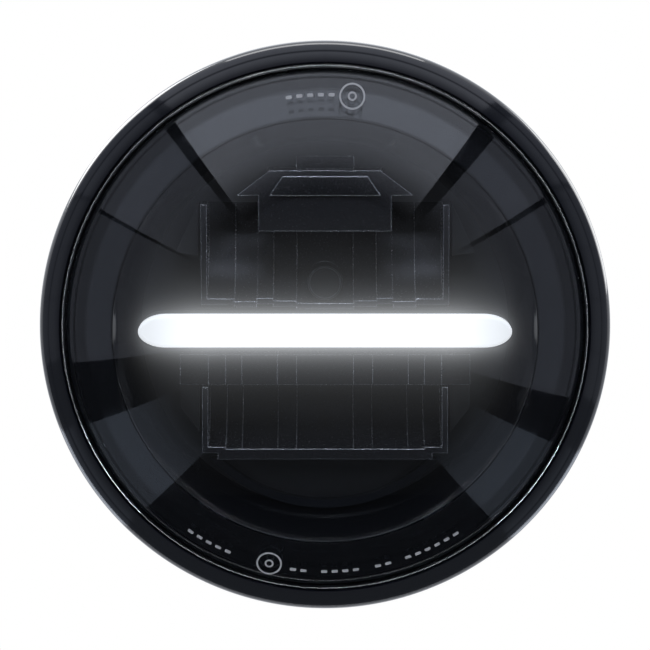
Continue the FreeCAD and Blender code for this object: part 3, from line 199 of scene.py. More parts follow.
class Turning:
    """Half section beside the lamp's axis, drawn as (radius, y) in millimetres and spun into a body."""

    def __init__(self, start: Pair) -> None:
        """Starts the section at a point.

        Args:
            start: (radius, y) in millimetres.
        """
        self.bm = bmesh.new()
        self.last = self.bm.verts.new((start[0] * MM, start[1] * MM, 0))
        self.first = self.last

    def line(self, *points: Pair) -> "Turning":
        """Adds straight runs.

        Args:
            *points: where each run ends, as (radius, y) in millimetres.

        Returns:
            The section.
        """
        for radius, y in points:
            here = self.bm.verts.new((radius * MM, y * MM, 0))
            self.bm.edges.new((self.last, here))
            self.last = here
        return self

    def arc(self, end: Pair, bulge: float, steps: int = 12) -> "Turning":
        """Adds an arc.

        Args:
            end: its last point.
            bulge: how far its middle stands off the chord, positive to the left of the way it runs.
            steps: number of chords.

        Returns:
            The section.
        """
        start = self.last.co.copy()
        stop = Vector((end[0] * MM, end[1] * MM, 0))
        chord = stop - start
        rise = bulge * MM
        radius = (chord.length_squared / 4 + rise * rise) / (2 * abs(rise))
        left = Vector((-chord.y, chord.x, 0)).normalized()
        side = 1.0 if rise > 0 else -1.0
        centre = start + chord / 2 + left * (rise - side * radius)
        angle = 4 * math.atan2(2 * abs(rise), chord.length)
        turned = bmesh.ops.spin(self.bm, geom=[self.last], cent=centre, axis=(0, 0, 1), angle=-side * angle,
                                steps=steps, use_duplicate=False)
        self.last = [part for part in turned["geom_last"] if isinstance(part, bmesh.types.BMVert)][0]
        return self

    def spun(self, closed: bool = True, steps: int = 288) -> bmesh.types.BMesh:
        """Spins the section once round the lamp's axis.

        Args:
            closed: joins the section's end to its start first.
            steps: number of sides.

        Returns:
            The body, its normals pointing out.
        """
        if closed:
            self.bm.edges.new((self.last, self.first))
        bmesh.ops.spin(self.bm, geom=self.bm.verts[:] + self.bm.edges[:], cent=(0, 0, 0), axis=(0, 1, 0),
                       angle=math.tau, steps=steps, use_merge=True, use_duplicate=False)
        bmesh.ops.remove_doubles(self.bm, verts=self.bm.verts, dist=1e-6)
        bmesh.ops.recalc_face_normals(self.bm, faces=self.bm.faces)
        return self.bm


# ---------------------------------------------------------------- finishes

@dataclass(frozen=True)
class Finish:
    """One real material with its surface, as a procedural shader."""

    name: str
    colour: str
    metallic: float = 0.0
    roughness: float = 0.4
    ior: float = 1.5
    coat: float = 0.0
    coat_roughness: float = 0.05
    tint: float = 0.06  # how far the colour wanders, as a share
    patch_mm: float = 14.0  # size of the patches that wander
    rough_swing: float = 0.04
    grain_mm: float = 0.6  # texture grain, drawn no finer than a render shows
    bump_mm: float = 0.01
    edge_mm: float = 0.0  # rounding of its edges, where the mesh has none
    edge_highlight_colour: str = ""  # painted highlight: the colour of those edges, where they would catch light

    def material(self) -> bpy.types.Material:
        """Builds the shader.

        Returns:
            The material.
        """
        material = new_material(self.name)
        tree = material.node_tree
        patch = noise(tree, self.patch_mm, 3.0)
        grain = noise(tree, self.grain_mm, 2.0)
        base = linear(self.colour)
        dark = tuple(c * (1 - self.tint) for c in base[:3]) + (1.0,)
        light = tuple(min(1.0, c * (1 + self.tint)) for c in base[:3]) + (1.0,)
        colour = self._mix(tree, patch, dark, light)
        rounded = {}
        if self.edge_mm > 0:
            bevel = add(tree, "ShaderNodeBevel", {"Radius": self.edge_mm * MM}, samples=6)
            rounded = {"Normal": bevel.outputs["Normal"]}
            # painted highlight: the edges are lightened towards the edge colour, as if they caught light
            if self.edge_highlight_colour:
                flat = add(tree, "ShaderNodeNewGeometry").outputs["Normal"]
                along = add(tree, "ShaderNodeVectorMath", {0: bevel.outputs["Normal"], 1: flat},
                            operation="DOT_PRODUCT").outputs["Value"]
                edge = ramp(tree, along, HIGHLIGHT_EDGE_COSINES, (0.0, 1.0))
                colour = self._mix(tree, edge, colour, linear(self.edge_highlight_colour))
        rough = ramp(tree, grain, (0.0, 1.0), (max(0.01, self.roughness - self.rough_swing),
                                               self.roughness + self.rough_swing))
        bump = add(tree, "ShaderNodeBump", {"Height": grain, "Distance": self.bump_mm * MM, "Strength": 1.0,
                                            **rounded})
        shader = add(tree, "ShaderNodeBsdfPrincipled", {
            "Base Color": colour, "Roughness": rough, "Normal": bump.outputs["Normal"],
            "Metallic": self.metallic, "IOR": self.ior, "Coat Weight": self.coat,
            "Coat Roughness": self.coat_roughness})
        add(tree, "ShaderNodeOutputMaterial", {"Surface": shader.outputs["BSDF"]})
        return material

    @staticmethod
    def _mix(tree: bpy.types.NodeTree, factor: bpy.types.NodeSocket, first: object, second: object
             ) -> bpy.types.NodeSocket:
        """Mixes two colours.

        Args:
            tree: node tree that takes the mix.
            factor: 0 gives the first colour, 1 the second.
            first: a colour or a colour's socket.
            second: the same.

        Returns:
            The mixed colour's socket.
        """
        node = tree.nodes.new("ShaderNodeMix")
        node.data_type = "RGBA"
        tree.links.new(factor, node.inputs[0])
        for index, value in ((6, first), (7, second)):
            if isinstance(value, bpy.types.NodeSocket):
                tree.links.new(value, node.inputs[index])
            else:
                node.inputs[index].default_value = value
        return node.outputs[2]


@dataclass(frozen=True)
class ClearPolycarbonate:
    """Hard-coated clear polycarbonate, injection moulded: glassy, faintly blue, with sharp reflections."""

    name: str = "polycarbonate_clear_hard_coated"
    colour: str = "F4F8FC"
    ior: float = 1.585
    roughness: float = 0.0

    def material(self) -> bpy.types.Material:
        """Builds the shader, which lets lamps' light through to what is behind it.

        Returns:
            The material.
        """
        material = new_material(self.name)
        tree = material.node_tree
        glass = add(tree, "ShaderNodeBsdfPrincipled", {
            "Base Color": linear(self.colour), "Roughness": self.roughness, "IOR": self.ior,
            "Transmission Weight": 1.0})
        clear = add(tree, "ShaderNodeBsdfTransparent", {"Color": linear(self.colour)})
        ray = add(tree, "ShaderNodeLightPath")
        either = maths(tree, "MAXIMUM", ray.outputs["Is Shadow Ray"], ray.outputs["Is Diffuse Ray"])
        mixed = add(tree, "ShaderNodeMixShader", {
            0: either, 1: glass.outputs["BSDF"], 2: clear.outputs["BSDF"]})
        add(tree, "ShaderNodeOutputMaterial", {"Surface": mixed.outputs["Shader"]})
        return material


@dataclass(frozen=True)
class LitOpal:
    """Opal polycarbonate light guide, moulded and lit from behind: even white light with a faint cloud."""

    name: str = "opal_light_guide_lit"
    colour: str = "FFFFFF"
    body: str = "F4F5F6"
    roughness: float = 0.35
    ior: float = 1.49
    strength: float = 0.76
    swing: float = 0.05  # how far its light wanders, as a share
    cloud_mm: float = 9.0

    def material(self) -> bpy.types.Material:
        """Builds the shader.

        Returns:
            The material.
        """
        material = new_material(self.name)
        tree = material.node_tree
        even = ramp(tree, noise(tree, self.cloud_mm, 1.0), (0.0, 1.0),
                    (self.strength * (1 - self.swing), self.strength * (1 + self.swing)))
        shader = add(tree, "ShaderNodeBsdfPrincipled", {
            "Base Color": linear(self.body), "Roughness": self.roughness, "IOR": self.ior,
            "Emission Color": linear(self.colour), "Emission Strength": even})
        add(tree, "ShaderNodeOutputMaterial", {"Surface": shader.outputs["BSDF"]})
        return material


class Surface(Enum):
    """The finishes of this lamp, by what each real piece is made of."""

    # Injection-moulded ABS, high gloss: near-black with a navy cast and mirror-like edges.
    RING = Finish("abs_gloss_black_moulded", "0C0E15", roughness=0.09, ior=1.53, coat=0.5, bump_mm=0.002)
    # Polycarbonate moulded against polished steel: deep black bowl that mirrors the room softly.
    BOWL = Finish("polycarbonate_black_polished", "08090C", roughness=0.12, ior=1.58, coat=0.4, bump_mm=0.002)
    # Polycarbonate moulded against spark-eroded steel: dark, even satin, with a faint highlight painted on
    # its edges.
    FRAME = Finish("polycarbonate_black_satin", "0B0B0D", roughness=0.32, ior=1.58, bump_mm=0.006,
                   edge_mm=0.3, edge_highlight_colour="1E1E21")
    # Nylon plug, moulded: matt black, with a pale highlight painted round its rim.
    PLUG = Finish("nylon_black_matt", "0A0A0B", roughness=0.55, bump_mm=0.01, edge_mm=0.4,
                  edge_highlight_colour="55555A")
    # Aluminium vapour-coated over black and smoked: a dim, slightly blurred mirror, with bright highlights
    # painted on its edges.
    MIRROR = Finish("vapour_coated_smoked_mirror", "36363A", metallic=0.9, roughness=0.26, bump_mm=0.003,
                    edge_mm=0.3, edge_highlight_colour="D0D0D6")
    # Polyester powder coat over die-cast aluminium: satin black with a fine orange peel, and a faint
    # highlight painted on its edges.
    CAST_BLACK = Finish("powder_coat_black_on_die_cast", "17181B", roughness=0.45, grain_mm=0.9, bump_mm=0.03,
                        edge_mm=0.5, edge_highlight_colour="2C2D31")
    # Die-cast aluminium, fine blasted: pale grey, faintly mottled, soft sheen.
    CAST_ALLOY = Finish("aluminium_die_cast_blasted", "97999D", metallic=0.9, roughness=0.42, tint=0.1,
                        grain_mm=0.7, bump_mm=0.03, edge_mm=0.4)
    # Rolled aluminium, milled: brighter and smoother than the casting.
    MILLED = Finish("aluminium_milled", "B9BBBE", metallic=1.0, roughness=0.28, bump_mm=0.004)
    # Silicone or EPDM rubber, moulded: flat charcoal black.
    RUBBER = Finish("epdm_rubber_moulded", "17171A", roughness=0.75, grain_mm=0.5, bump_mm=0.02)
    # Zinc-plated steel screws: bright bluish grey.
    ZINC = Finish("steel_zinc_plated", "B4B7BC", metallic=1.0, roughness=0.25, bump_mm=0.003)
    # Glass-filled nylon, moulded: dull black with a faint fibre mottle.
    NYLON = Finish("nylon_glass_filled_moulded", "1B1C1E", roughness=0.5, tint=0.15, bump_mm=0.02)
    # Tin-plated brass strip, stamped: pale warm grey metal.
    TIN = Finish("brass_strip_tin_plated", "B9B19A", metallic=1.0, roughness=0.3, bump_mm=0.004)
    # Porous PTFE film: chalk white.
    FILM = Finish("ptfe_porous_film", "DCDCDA", roughness=0.8)
    # White solder mask on an aluminium-core board: glossy white.
    BOARD_WHITE = Finish("solder_mask_white", "D6D8D6", roughness=0.3)
    # Green solder mask on glass-epoxy board.
    BOARD_GREEN = Finish("solder_mask_green", "174A2C", roughness=0.3, coat=0.3)
    # Yellow phosphor under clear silicone.
    PHOSPHOR = Finish("phosphor_under_silicone", "E3BE35", roughness=0.25)
    # Filled silicone thermal pad: soft blue-grey.
    PAD = Finish("thermal_pad_silicone", "6E7888", roughness=0.8)
    # Turned brass pillar.
    BRASS = Finish("brass_turned", "B08A4A", metallic=1.0, roughness=0.3)
    # Drawn aluminium can.
    CAN = Finish("aluminium_drawn_can", "B8BABD", metallic=1.0, roughness=0.25)
    # Moulded epoxy chip body.
    EPOXY = Finish("epoxy_moulded_black", "141416", roughness=0.6)
    # Pressed ferrite.
    FERRITE = Finish("ferrite_pressed", "2A2A2D", roughness=0.7)
    # PVC insulation, red and black.
    WIRE_RED = Finish("pvc_insulation_red", "8E1B14", roughness=0.4)
    WIRE_BLACK = Finish("pvc_insulation_black", "151516", roughness=0.4)
    # The lens's own polycarbonate, moulded against a fine grain: frosted pale grey.
    MARKS = Finish("polycarbonate_frosted_marks", "9EA1A8", roughness=0.6, ior=1.58, bump_mm=0.02)
    CLEAR = ClearPolycarbonate()
    OPAL = LitOpal()


NODE_SURFACES: dict[Surface, tuple[str, ...]] = {
    Surface.RING: ("bezel_ring",),
    Surface.BOWL: ("inner_bezel", "lower_trim"),
    Surface.FRAME: ("optics_carrier", "bar_channel"),
    Surface.PLUG: ("reflector_plug",),
    Surface.MIRROR: ("low_reflector", "low_hood", "high_reflector", "high_curtain"),
    Surface.CAST_BLACK: ("housing",),
    Surface.CAST_ALLOY: ("heat_sink",),
    Surface.MILLED: ("led_bracket",),
    Surface.RUBBER: ("lens_seal", "rear_gasket", "terminal_gasket"),
    Surface.ZINC: ("rear_screws", "terminal_screws", "carrier_screws", "reflector_screws", "bracket_screws",
                   "board_screws", "driver_screws"),
    Surface.NYLON: ("terminal_base", "vent_cap"),
    Surface.TIN: ("terminal_blades",),
    Surface.FILM: ("vent_membrane",),
    Surface.BOARD_WHITE: ("bar_board", "low_led_board", "high_led_board"),
    Surface.BOARD_GREEN: ("driver_board",),
    Surface.PHOSPHOR: ("bar_leds", "low_leds", "high_leds"),
    Surface.PAD: ("low_thermal_pad", "high_thermal_pad"),
    Surface.BRASS: ("driver_standoffs",),
    Surface.CAN: ("driver_capacitors",),
    Surface.EPOXY: ("driver_chips",),
    Surface.FERRITE: ("driver_inductors",),
    Surface.WIRE_RED: ("low_wires", "high_wires"),
    Surface.WIRE_BLACK: ("bar_wires", "inlet_leads"),
    Surface.CLEAR: ("lens",),
    Surface.OPAL: ("bar_diffuser",),
}


class Workshop:
    """Makes each finish once and dresses the carried-over nodes."""

    def __init__(self) -> None:
        """Starts with no finish made."""
        self.made: dict[Surface, bpy.types.Material] = {}

    def finish(self, surface: Surface) -> bpy.types.Material:
        """Gives a surface's material, made the first time it is asked for.

        Args:
            surface: the finish.

        Returns:
            The material.
        """
        if surface not in self.made:
            self.made[surface] = surface.value.material()
        return self.made[surface]

    def dress(self, node: str, surface: Surface) -> None:
        """Gives a CAD node its finish.

        Args:
            node: its name.
            surface: the finish.
        """
        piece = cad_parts[node]
        piece.data.materials.clear()
        piece.data.materials.append(self.finish(surface))
        LOG.info("%s: dressed as %s", node, surface.value.name)


# ---------------------------------------------------------------- pieces

@dataclass
class Dome:
    """The lens's sphere, from the frame's own box."""

    edge_r: float = 79.9
    height: float = 31.0
    wall: float = 2.8

    def __post_init__(self) -> None:
        """Works out the sphere."""
        self.apex_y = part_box("lens")[0][1] / MM
        self.edge_y = self.apex_y + self.height
        self.radius = (self.edge_r ** 2 + self.height ** 2) / (2 * self.height)
        self.centre_y = self.apex_y + self.radius

    def at(self, radius: float, inset: float = 0.0) -> Pair:
        """Point of the section on the sphere, or on one set in from it.

        Args:
            radius: distance from the lamp's axis.
            inset: how much smaller the sphere is.

        Returns:
            (radius, y) in millimetres.
        """
        return radius, self.centre_y - math.sqrt((self.radius - inset) ** 2 - radius ** 2)

    def along(self, section: Turning, radius: float, inset: float, steps: int) -> None:
        """Runs the section along such a sphere, from a point on it.

        Args:
            section: half section whose last point is on the sphere.
            radius: where to stop.
            inset: how much smaller the sphere is.
            steps: number of chords.
        """
        start, end = section.last.co / MM, self.at(radius, inset)
        sphere = self.radius - inset
        chord = math.hypot(end[0] - start.x, end[1] - start.y)
        sag = sphere - math.sqrt(sphere ** 2 - chord ** 2 / 4)
        section.arc(end, sag if radius < start.x else -sag, steps)


@dataclass
class Lens:
    """Clear dome with a bead near its edge, and its tongue in the housing's channel."""

    dome: Dome
    step: float = 0.4
    optic_r: float = 65.0
    bead_r: float = 80.95
    bead_w: float = 1.7
    bead_h: float = 0.75
    bead_top: float = 0.22
    groove_y: float = -11.2
    rim_r: float = 82.0
    flange_y: float = -8.5
    under_y: float = -7.6
    tongue: Pair = (83.2, 81.0)
    tongue_y: float = -3.0

    def build(self, shop: Workshop) -> None:
        """Builds the dome as one turned piece.

        Args:
            shop: where finishes come from.
        """
        dome, wall = self.dome, self.dome.wall
        section = Turning((0.0, dome.apex_y))
        dome.along(section, dome.edge_r, 0.0, 64)
        foot, crest_y = self.bead_w / 2, self.groove_y - self.bead_h
        section.line((self.bead_r - foot, self.groove_y))
        section.arc((self.bead_r - self.bead_top, crest_y), -0.06, 6)
        section.arc((self.bead_r + self.bead_top, crest_y), -0.1, 6)
        section.arc((self.bead_r + foot, self.groove_y), -0.06, 6)
        seat_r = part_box("lens")[1][0] / MM
        section.line((self.rim_r, self.groove_y + 0.2), (self.rim_r, self.flange_y))
        section.line((seat_r, self.flange_y), (seat_r, self.under_y), (self.tongue[0], self.under_y))
        section.line((self.tongue[0], self.tongue_y), (self.tongue[1], self.tongue_y))
        section.line((self.tongue[1], self.flange_y))
        inner = dome.radius - wall
        shoulder_r = math.sqrt(inner ** 2 - (dome.centre_y - self.flange_y) ** 2)
        section.line((shoulder_r, self.flange_y))
        dome.along(section, self.optic_r, wall, 16)
        section.line(dome.at(self.optic_r - self.step, wall + self.step))
        dome.along(section, 0.0, wall + self.step, 48)
        finished("lens_dome", section.spun(closed=False), shop.finish(Surface.CLEAR), 25, ("lens",))


@dataclass(frozen=True)
class Row:
    """A row of short dashes along an arc of the dome."""

    from_deg: float  # clockwise from the right, seen from the front
    count: int
    radius: float = 75.6


@dataclass
class Marks:
    """Plain moulded marks near the lens's edge: rings and rows of dashes, with no letter in them."""

    dome: Dome
    rows: tuple[Row, ...] = (Row(123.6, 5), Row(97.6, 2), Row(90.2, 4), Row(77.4, 2), Row(70.0, 6),
                             Row(271.6, 5, 72.8))
    rings: tuple[Pair, ...] = ((103.4, 75.0), (276.6, 72.8))  # angle and distance from the axis
    dash: Pair = (1.9, 1.0)
    pitch: float = 3.3
    dash_round: float = 0.3
    ring_r: float = 4.0
    eye_r: float = 1.4
    line: float = 0.55
    proud: float = 0.12

    def build(self, shop: Workshop) -> None:
        """Builds all marks as one piece on the dome.

        Args:
            shop: where finishes come from.
        """
        bm = bmesh.new()
        for row in self.rows:
            for step in range(row.count):
                angle = row.from_deg - math.degrees(step * self.pitch / row.radius)
                self._pad(bm, angle, row.radius, self.dash)
        for angle, radius in self.rings:
            self._ring(bm, angle, radius, self.ring_r, self.line)
            self._ring(bm, angle, radius, self.eye_r, self.line)
        for vert in bm.verts:
            radius = math.hypot(vert.co.x, vert.co.z) / MM
            vert.co.y += self.dome.at(radius)[1] * MM
        bmesh.ops.recalc_face_normals(bm, faces=bm.faces)
        finished("lens_marks", bm, shop.finish(Surface.MARKS), 40, ())

    def _pad(self, bm: bmesh.types.BMesh, angle: float, radius: float, size: Pair) -> None:
        """Adds one dash with softened corners.

        Args:
            bm: mesh that takes it, flat about y = 0.
            angle: clockwise from the right, in degrees.
            radius: of its middle, in millimetres.
            size: along and across the arc, in millimetres.
        """
        turn = Matrix.Rotation(math.radians(angle), 4, "Y")
        place = turn @ Matrix.Translation((radius * MM, 0, 0)) @ Matrix.Diagonal(
            (size[1] * MM, 2 * self.proud * MM, size[0] * MM, 1))
        cube = bmesh.ops.create_cube(bm, size=1.0, matrix=place)
        edges = {edge for vert in cube["verts"] for edge in vert.link_edges}
        upright = [edge for edge in bm.edges if edge in edges and self._upright(edge)]
        bmesh.ops.bevel(bm, geom=upright, offset=self.dash_round * MM, offset_type="OFFSET", segments=3,
                        profile=0.5, material=-1, affect="EDGES")

    @staticmethod
    def _upright(edge: bmesh.types.BMEdge) -> bool:
        """Tells whether an edge stands along the lamp's axis.

        Args:
            edge: the edge.

        Returns:
            True if it does.
        """
        return abs((edge.verts[0].co - edge.verts[1].co).normalized().y) > 0.9

    def _ring(self, bm: bmesh.types.BMesh, angle: float, radius: float, ring_r: float, line: float) -> None:
        """Adds one thin ring.

        Args:
            bm: mesh that takes it, flat about y = 0.
            angle: clockwise from the right, in degrees.
            radius: of its middle, in millimetres.
            ring_r: its own radius.
            line: its line width.
        """
        middle = Matrix.Rotation(math.radians(angle), 3, "Y") @ Vector((radius * MM, 0, 0))
        inner_r, up = ring_r - line, self.proud
        corners = [bm.verts.new(middle + Vector((across * MM, rise * MM, 0))) for across, rise in (
            (ring_r, -up), (ring_r, up), (inner_r, up), (inner_r, -up))]
        edges = [bm.edges.new((first, second)) for first, second in zip(corners, corners[1:] + corners[:1])]
        bmesh.ops.spin(bm, geom=corners + edges, cent=middle, axis=(0, 1, 0), angle=math.tau, steps=48,
                       use_merge=True, use_duplicate=False)


@dataclass
class OuterRing:
    """Black ring round the lens: a rounded front, a soft outer edge and a rolled back edge."""

    mouth_r: float = 82.35
    front_y: float = -11.0
    lip: float = 2.5
    round_mm: float = 0.68

    def build(self, shop: Workshop) -> None:
        """Builds the ring as one turned piece.

        Args:
            shop: where finishes come from.
        """
        outer_r, back_y = (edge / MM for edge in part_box("bezel_ring")[1][:2])
        section = Turning((self.mouth_r, self.front_y + 0.4))
        section.arc((self.mouth_r + 0.35, self.front_y), -0.1, 5)
        section.arc((self.mouth_r + 3.5, self.front_y + 1.55), -0.06, 10)
        section.arc((outer_r - 0.05, self.front_y + 5.4), -self.round_mm, 28)
        section.line((outer_r, back_y - 1.0))
        section.arc((outer_r - 1.0, back_y), -0.28, 6)
        section.line((outer_r - self.lip, back_y), (outer_r - self.lip, back_y - 1.0),
                     (outer_r - 2.2, self.front_y + 6.0), (self.mouth_r + 0.6, self.front_y + 2.4),
                     (self.mouth_r, self.front_y + 1.8))
        finished("outer_ring", section.spun(), shop.finish(Surface.RING), 35, ("bezel_ring",))


@dataclass
class Bowl:
    """Black bowl behind the lens: a domed band with a rounded lip, then a smooth wall to the optics."""

    dome: Dome
    gap: float = 2.4
    thickness: float = 2.0
    band_r: float = 73.1
    lip_r: float = 65.0
    skirt_y: float = -8.0
    step: float = 0.9
    sag: float = 1.2
    mouth_r: float = 57.0

    def build(self, shop: Workshop) -> None:
        """Builds the bowl as one turned piece.

        Args:
            shop: where finishes come from.
        """
        skirt_r, mouth_y = (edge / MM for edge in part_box("inner_bezel")[1][:2])
        dome, t = self.dome, self.thickness
        inset = dome.wall + self.gap
        band = dome.at(self.band_r, inset)
        section = Turning((skirt_r, -3.0))
        section.line((skirt_r, self.skirt_y + 0.4))
        section.arc((skirt_r - 0.4, self.skirt_y), 0.12, 4)
        section.line((self.band_r + 0.9, band[1] + self.step))
        section.arc((self.band_r + 0.35, band[1] + self.step - 0.45), -0.12, 5)
        section.arc(band, 0.12, 6)
        dome.along(section, self.lip_r + 0.9, inset, 24)
        lip = dome.at(self.lip_r, inset)
        section.arc((self.lip_r - 0.35, lip[1] + 0.75), 0.35, 10)
        section.arc((self.mouth_r, mouth_y), self.sag, 24)
        section.line((self.mouth_r + t, mouth_y))
        section.arc(dome.at(self.lip_r + t, inset + t), -self.sag, 16)
        dome.along(section, self.band_r, inset + t, 12)
        section.line((skirt_r - t, self.skirt_y + t), (skirt_r - t, -3.0))
        finished("bowl", section.spun(), shop.finish(Surface.BOWL), 35, ("inner_bezel",))


# ---------------------------------------------------------------- studio

@dataclass(frozen=True)
class Panel:
    """A soft panel of the studio: a sector of a cone round the lamp's axis, seen only in reflections."""

    name: str
    from_deg: float  # clockwise from the right, seen from the camera
    to_deg: float
    level: float
    colour: str = "FFFFFF"
    near_tilt: float = 40.0  # angle from the axis where it starts
    far_tilt: float = 100.0
    fade: float = 22.0  # angle over which it comes up to its level
    only: tuple[str, ...] = ()  # the pieces that it lights alone, clear to all others


@dataclass(frozen=True)
class Lamp:
    """A square soft lamp that faces the piece."""

    name: str
    spot: tuple[float, float, float]  # in metres
    power: float  # in watts
    size: float  # side, in metres


class Studio:
    """White room with a pale floor, soft panels round the lamp and one long-lens camera."""

    panels: tuple[Panel, ...] = (
        Panel("panel_top", 231.0, 310.0, 0.86, "DDE2F0"),
        Panel("panel_top_left", 203.5, 228.0, 0.36, "C8CEDF"),
        Panel("panel_top_right", 315.0, 333.5, 0.36, "C8CEDF"),
        Panel("panel_left", 167.0, 202.5, 0.25, "C8CEDF"),
        Panel("panel_right", 335.0, 381.0, 0.25, "C8CEDF"),
        Panel("panel_low_left", 131.0, 153.0, 0.28, "C4D0E4", 52.0, 100.0, 18.0),
        Panel("panel_low_right", 31.5, 52.5, 0.25, "C4D0E4", 52.0, 100.0, 18.0),
        Panel("strip_low_left", 131.0, 153.0, 16.0, "DCE6F6", 90.0, 114.0, 5.0, ("lens_dome",)),
        Panel("strip_low_right", 31.5, 52.5, 16.0, "DCE6F6", 90.0, 114.0, 5.0, ("lens_dome",)),
        Panel("strip_round", 0.0, 360.0, 3.0, "E4EAF4", 92.0, 112.0, 3.0, ("lens_dome",)),
        Panel("rim_round", 0.0, 360.0, 0.16, "DCE6F6", 40.0, 97.0, 20.0, ("outer_ring",)),
        Panel("rim_low_left", 131.0, 153.0, 1.5, "DCE6F6", 95.0, 130.0, 5.0, ("outer_ring",)),
        Panel("rim_low_right", 31.5, 52.5, 1.5, "DCE6F6", 95.0, 130.0, 5.0, ("outer_ring",)),
    )
    radius: float = 0.9  # of the panels, from the lamp
    tent_radius: float = 0.936
    tent_tilt: float = 97.0  # where the black cloth ends, from the axis
    dark: float = 0.03  # what the cloth still reflects
    view_mm: float = 203.7  # width of the view, at the lamp
    sensor_mm: float = 36.0
    distance: float = 1.15
    rise_deg: float = 5.9  # camera, above the lamp's axis
    room_levels: Pair = (0.8, 1.05)  # in front and behind
    low_share: float = 0.35  # of that, near the floor
    floor_z: float = -1.0
    floor_radius: float = 6.0
    optics: tuple[str, ...] = ("optics_carrier", "low_reflector", "high_reflector", "low_hood",
                               "high_curtain", "lower_trim", "bar_channel")
    inside_lamps: tuple[Lamp, ...] = (
        Lamp("inside_top", (0.0, -0.45, 0.65), 8.0, 0.25),
        Lamp("inside_left", (-0.6, -0.5, 0.2), 2.5, 0.15),
        Lamp("inside_right", (0.6, -0.5, 0.2), 2.5, 0.15))
    marks_lamp: Lamp = Lamp("marks_lamp", (0.0, -0.9, -0.35), 6.0, 0.3)
    room_lamps: tuple[Lamp, ...] = (
        Lamp("rear_left", (-0.7, 0.7, 0.6), 6.0, 0.6),
        Lamp("rear_right", (0.8, 0.6, 0.3), 3.5, 0.6),
        Lamp("overhead", (0.0, 0.1, 1.0), 6.0, 0.8))
    spill: float = 0.12  # watts, from the light bar back into the mirrors
    spill_share: float = 0.8  # its size, as a share of the bar's
    spill_gap_mm: float = 0.3  # in front of the bar
    # painted glow round the bar: a clear card in front of it that gives off light of its own
    glow_gap_mm: float = 0.4
    glow_size: Pair = (0.126, 0.1)
    glow_ends: Pair = (0.036, 0.062)  # distances from the middle over which it dies down
    glow_left: float = 0.1  # what is left of it past the bar's ends
    glow_terms: tuple[Pair, ...] = ((0.4, 2.5), (0.1, 9.4))  # level at the bar's edge, reach in millimetres

    def build(self) -> None:
        """Builds the camera, the floor, the lights and the panels."""
        self.camera()
        self.world()
        self.floor()
        self.tent()
        for panel in self.panels:
            self.card(panel)
        self.painted_glow()
        self.inside()
        self.lights()

    def camera(self) -> None:
        """Long lens, about 6 degrees above the lamp's axis."""
        data = bpy.data.cameras.new("camera")
        data.sensor_width = self.sensor_mm
        data.lens = self.sensor_mm * self.distance / (self.view_mm * MM)
        data.clip_start = 0.01
        camera = bpy.data.objects.new("camera", data)
        rise = math.radians(self.rise_deg)
        camera.location = Vector((0, -math.cos(rise), math.sin(rise))) * self.distance
        camera.rotation_euler = (math.pi / 2 - rise, 0, 0)
        bpy.context.scene.collection.objects.link(camera)
        bpy.context.scene.camera = camera
        bpy.context.scene.view_settings.view_transform = "Standard"

    def world(self) -> None:
        """White to the eye, and a dimmer room for light and reflections."""
        world = bpy.data.worlds.new("room")
        bpy.context.scene.world = world
        world.use_nodes = True
        tree = world.node_tree
        tree.nodes.clear()
        ray = add(tree, "ShaderNodeLightPath")
        way = add(tree, "ShaderNodeTexCoord").outputs["Generated"]
        parts = add(tree, "ShaderNodeSeparateXYZ", {"Vector": way})
        behind = ramp(tree, parts.outputs["Y"], (0.0, 0.5), self.room_levels)
        low = ramp(tree, parts.outputs["Z"], (-0.6, 0.2), (self.low_share, 1.0))
        level = maths(tree, "MULTIPLY", behind, low)
        dim = add(tree, "ShaderNodeBackground", {"Color": linear("E8ECF4"), "Strength": level})
        white = add(tree, "ShaderNodeBackground", {"Color": linear("FFFFFF"), "Strength": 1.0})
        mixed = add(tree, "ShaderNodeMixShader", {
            0: ray.outputs["Is Camera Ray"], 1: dim.outputs["Background"], 2: white.outputs["Background"]})
        add(tree, "ShaderNodeOutputWorld", {"Surface": mixed.outputs["Shader"]})

    def floor(self) -> None:
        """Pale floor, well below the lamp."""
        bm = bmesh.new()
        bmesh.ops.create_circle(bm, cap_ends=True, radius=self.floor_radius, segments=96,
                                matrix=Matrix.Translation((0, 0, self.floor_z)))
        floor = self._stage("floor", bm)
        material = new_material("floor_pale")
        tree = material.node_tree
        ray = add(tree, "ShaderNodeLightPath")
        glow = add(tree, "ShaderNodeEmission", {"Color": linear("FFFFFF"), "Strength": 1.0})
        matt = add(tree, "ShaderNodeBsdfDiffuse", {"Color": linear("E6E7E9")})
        mixed = add(tree, "ShaderNodeMixShader", {
            0: ray.outputs["Is Camera Ray"], 1: matt.outputs["BSDF"], 2: glow.outputs["Emission"]})
        add(tree, "ShaderNodeOutputMaterial", {"Surface": mixed.outputs["Shader"]})
        floor.data.materials.append(material)

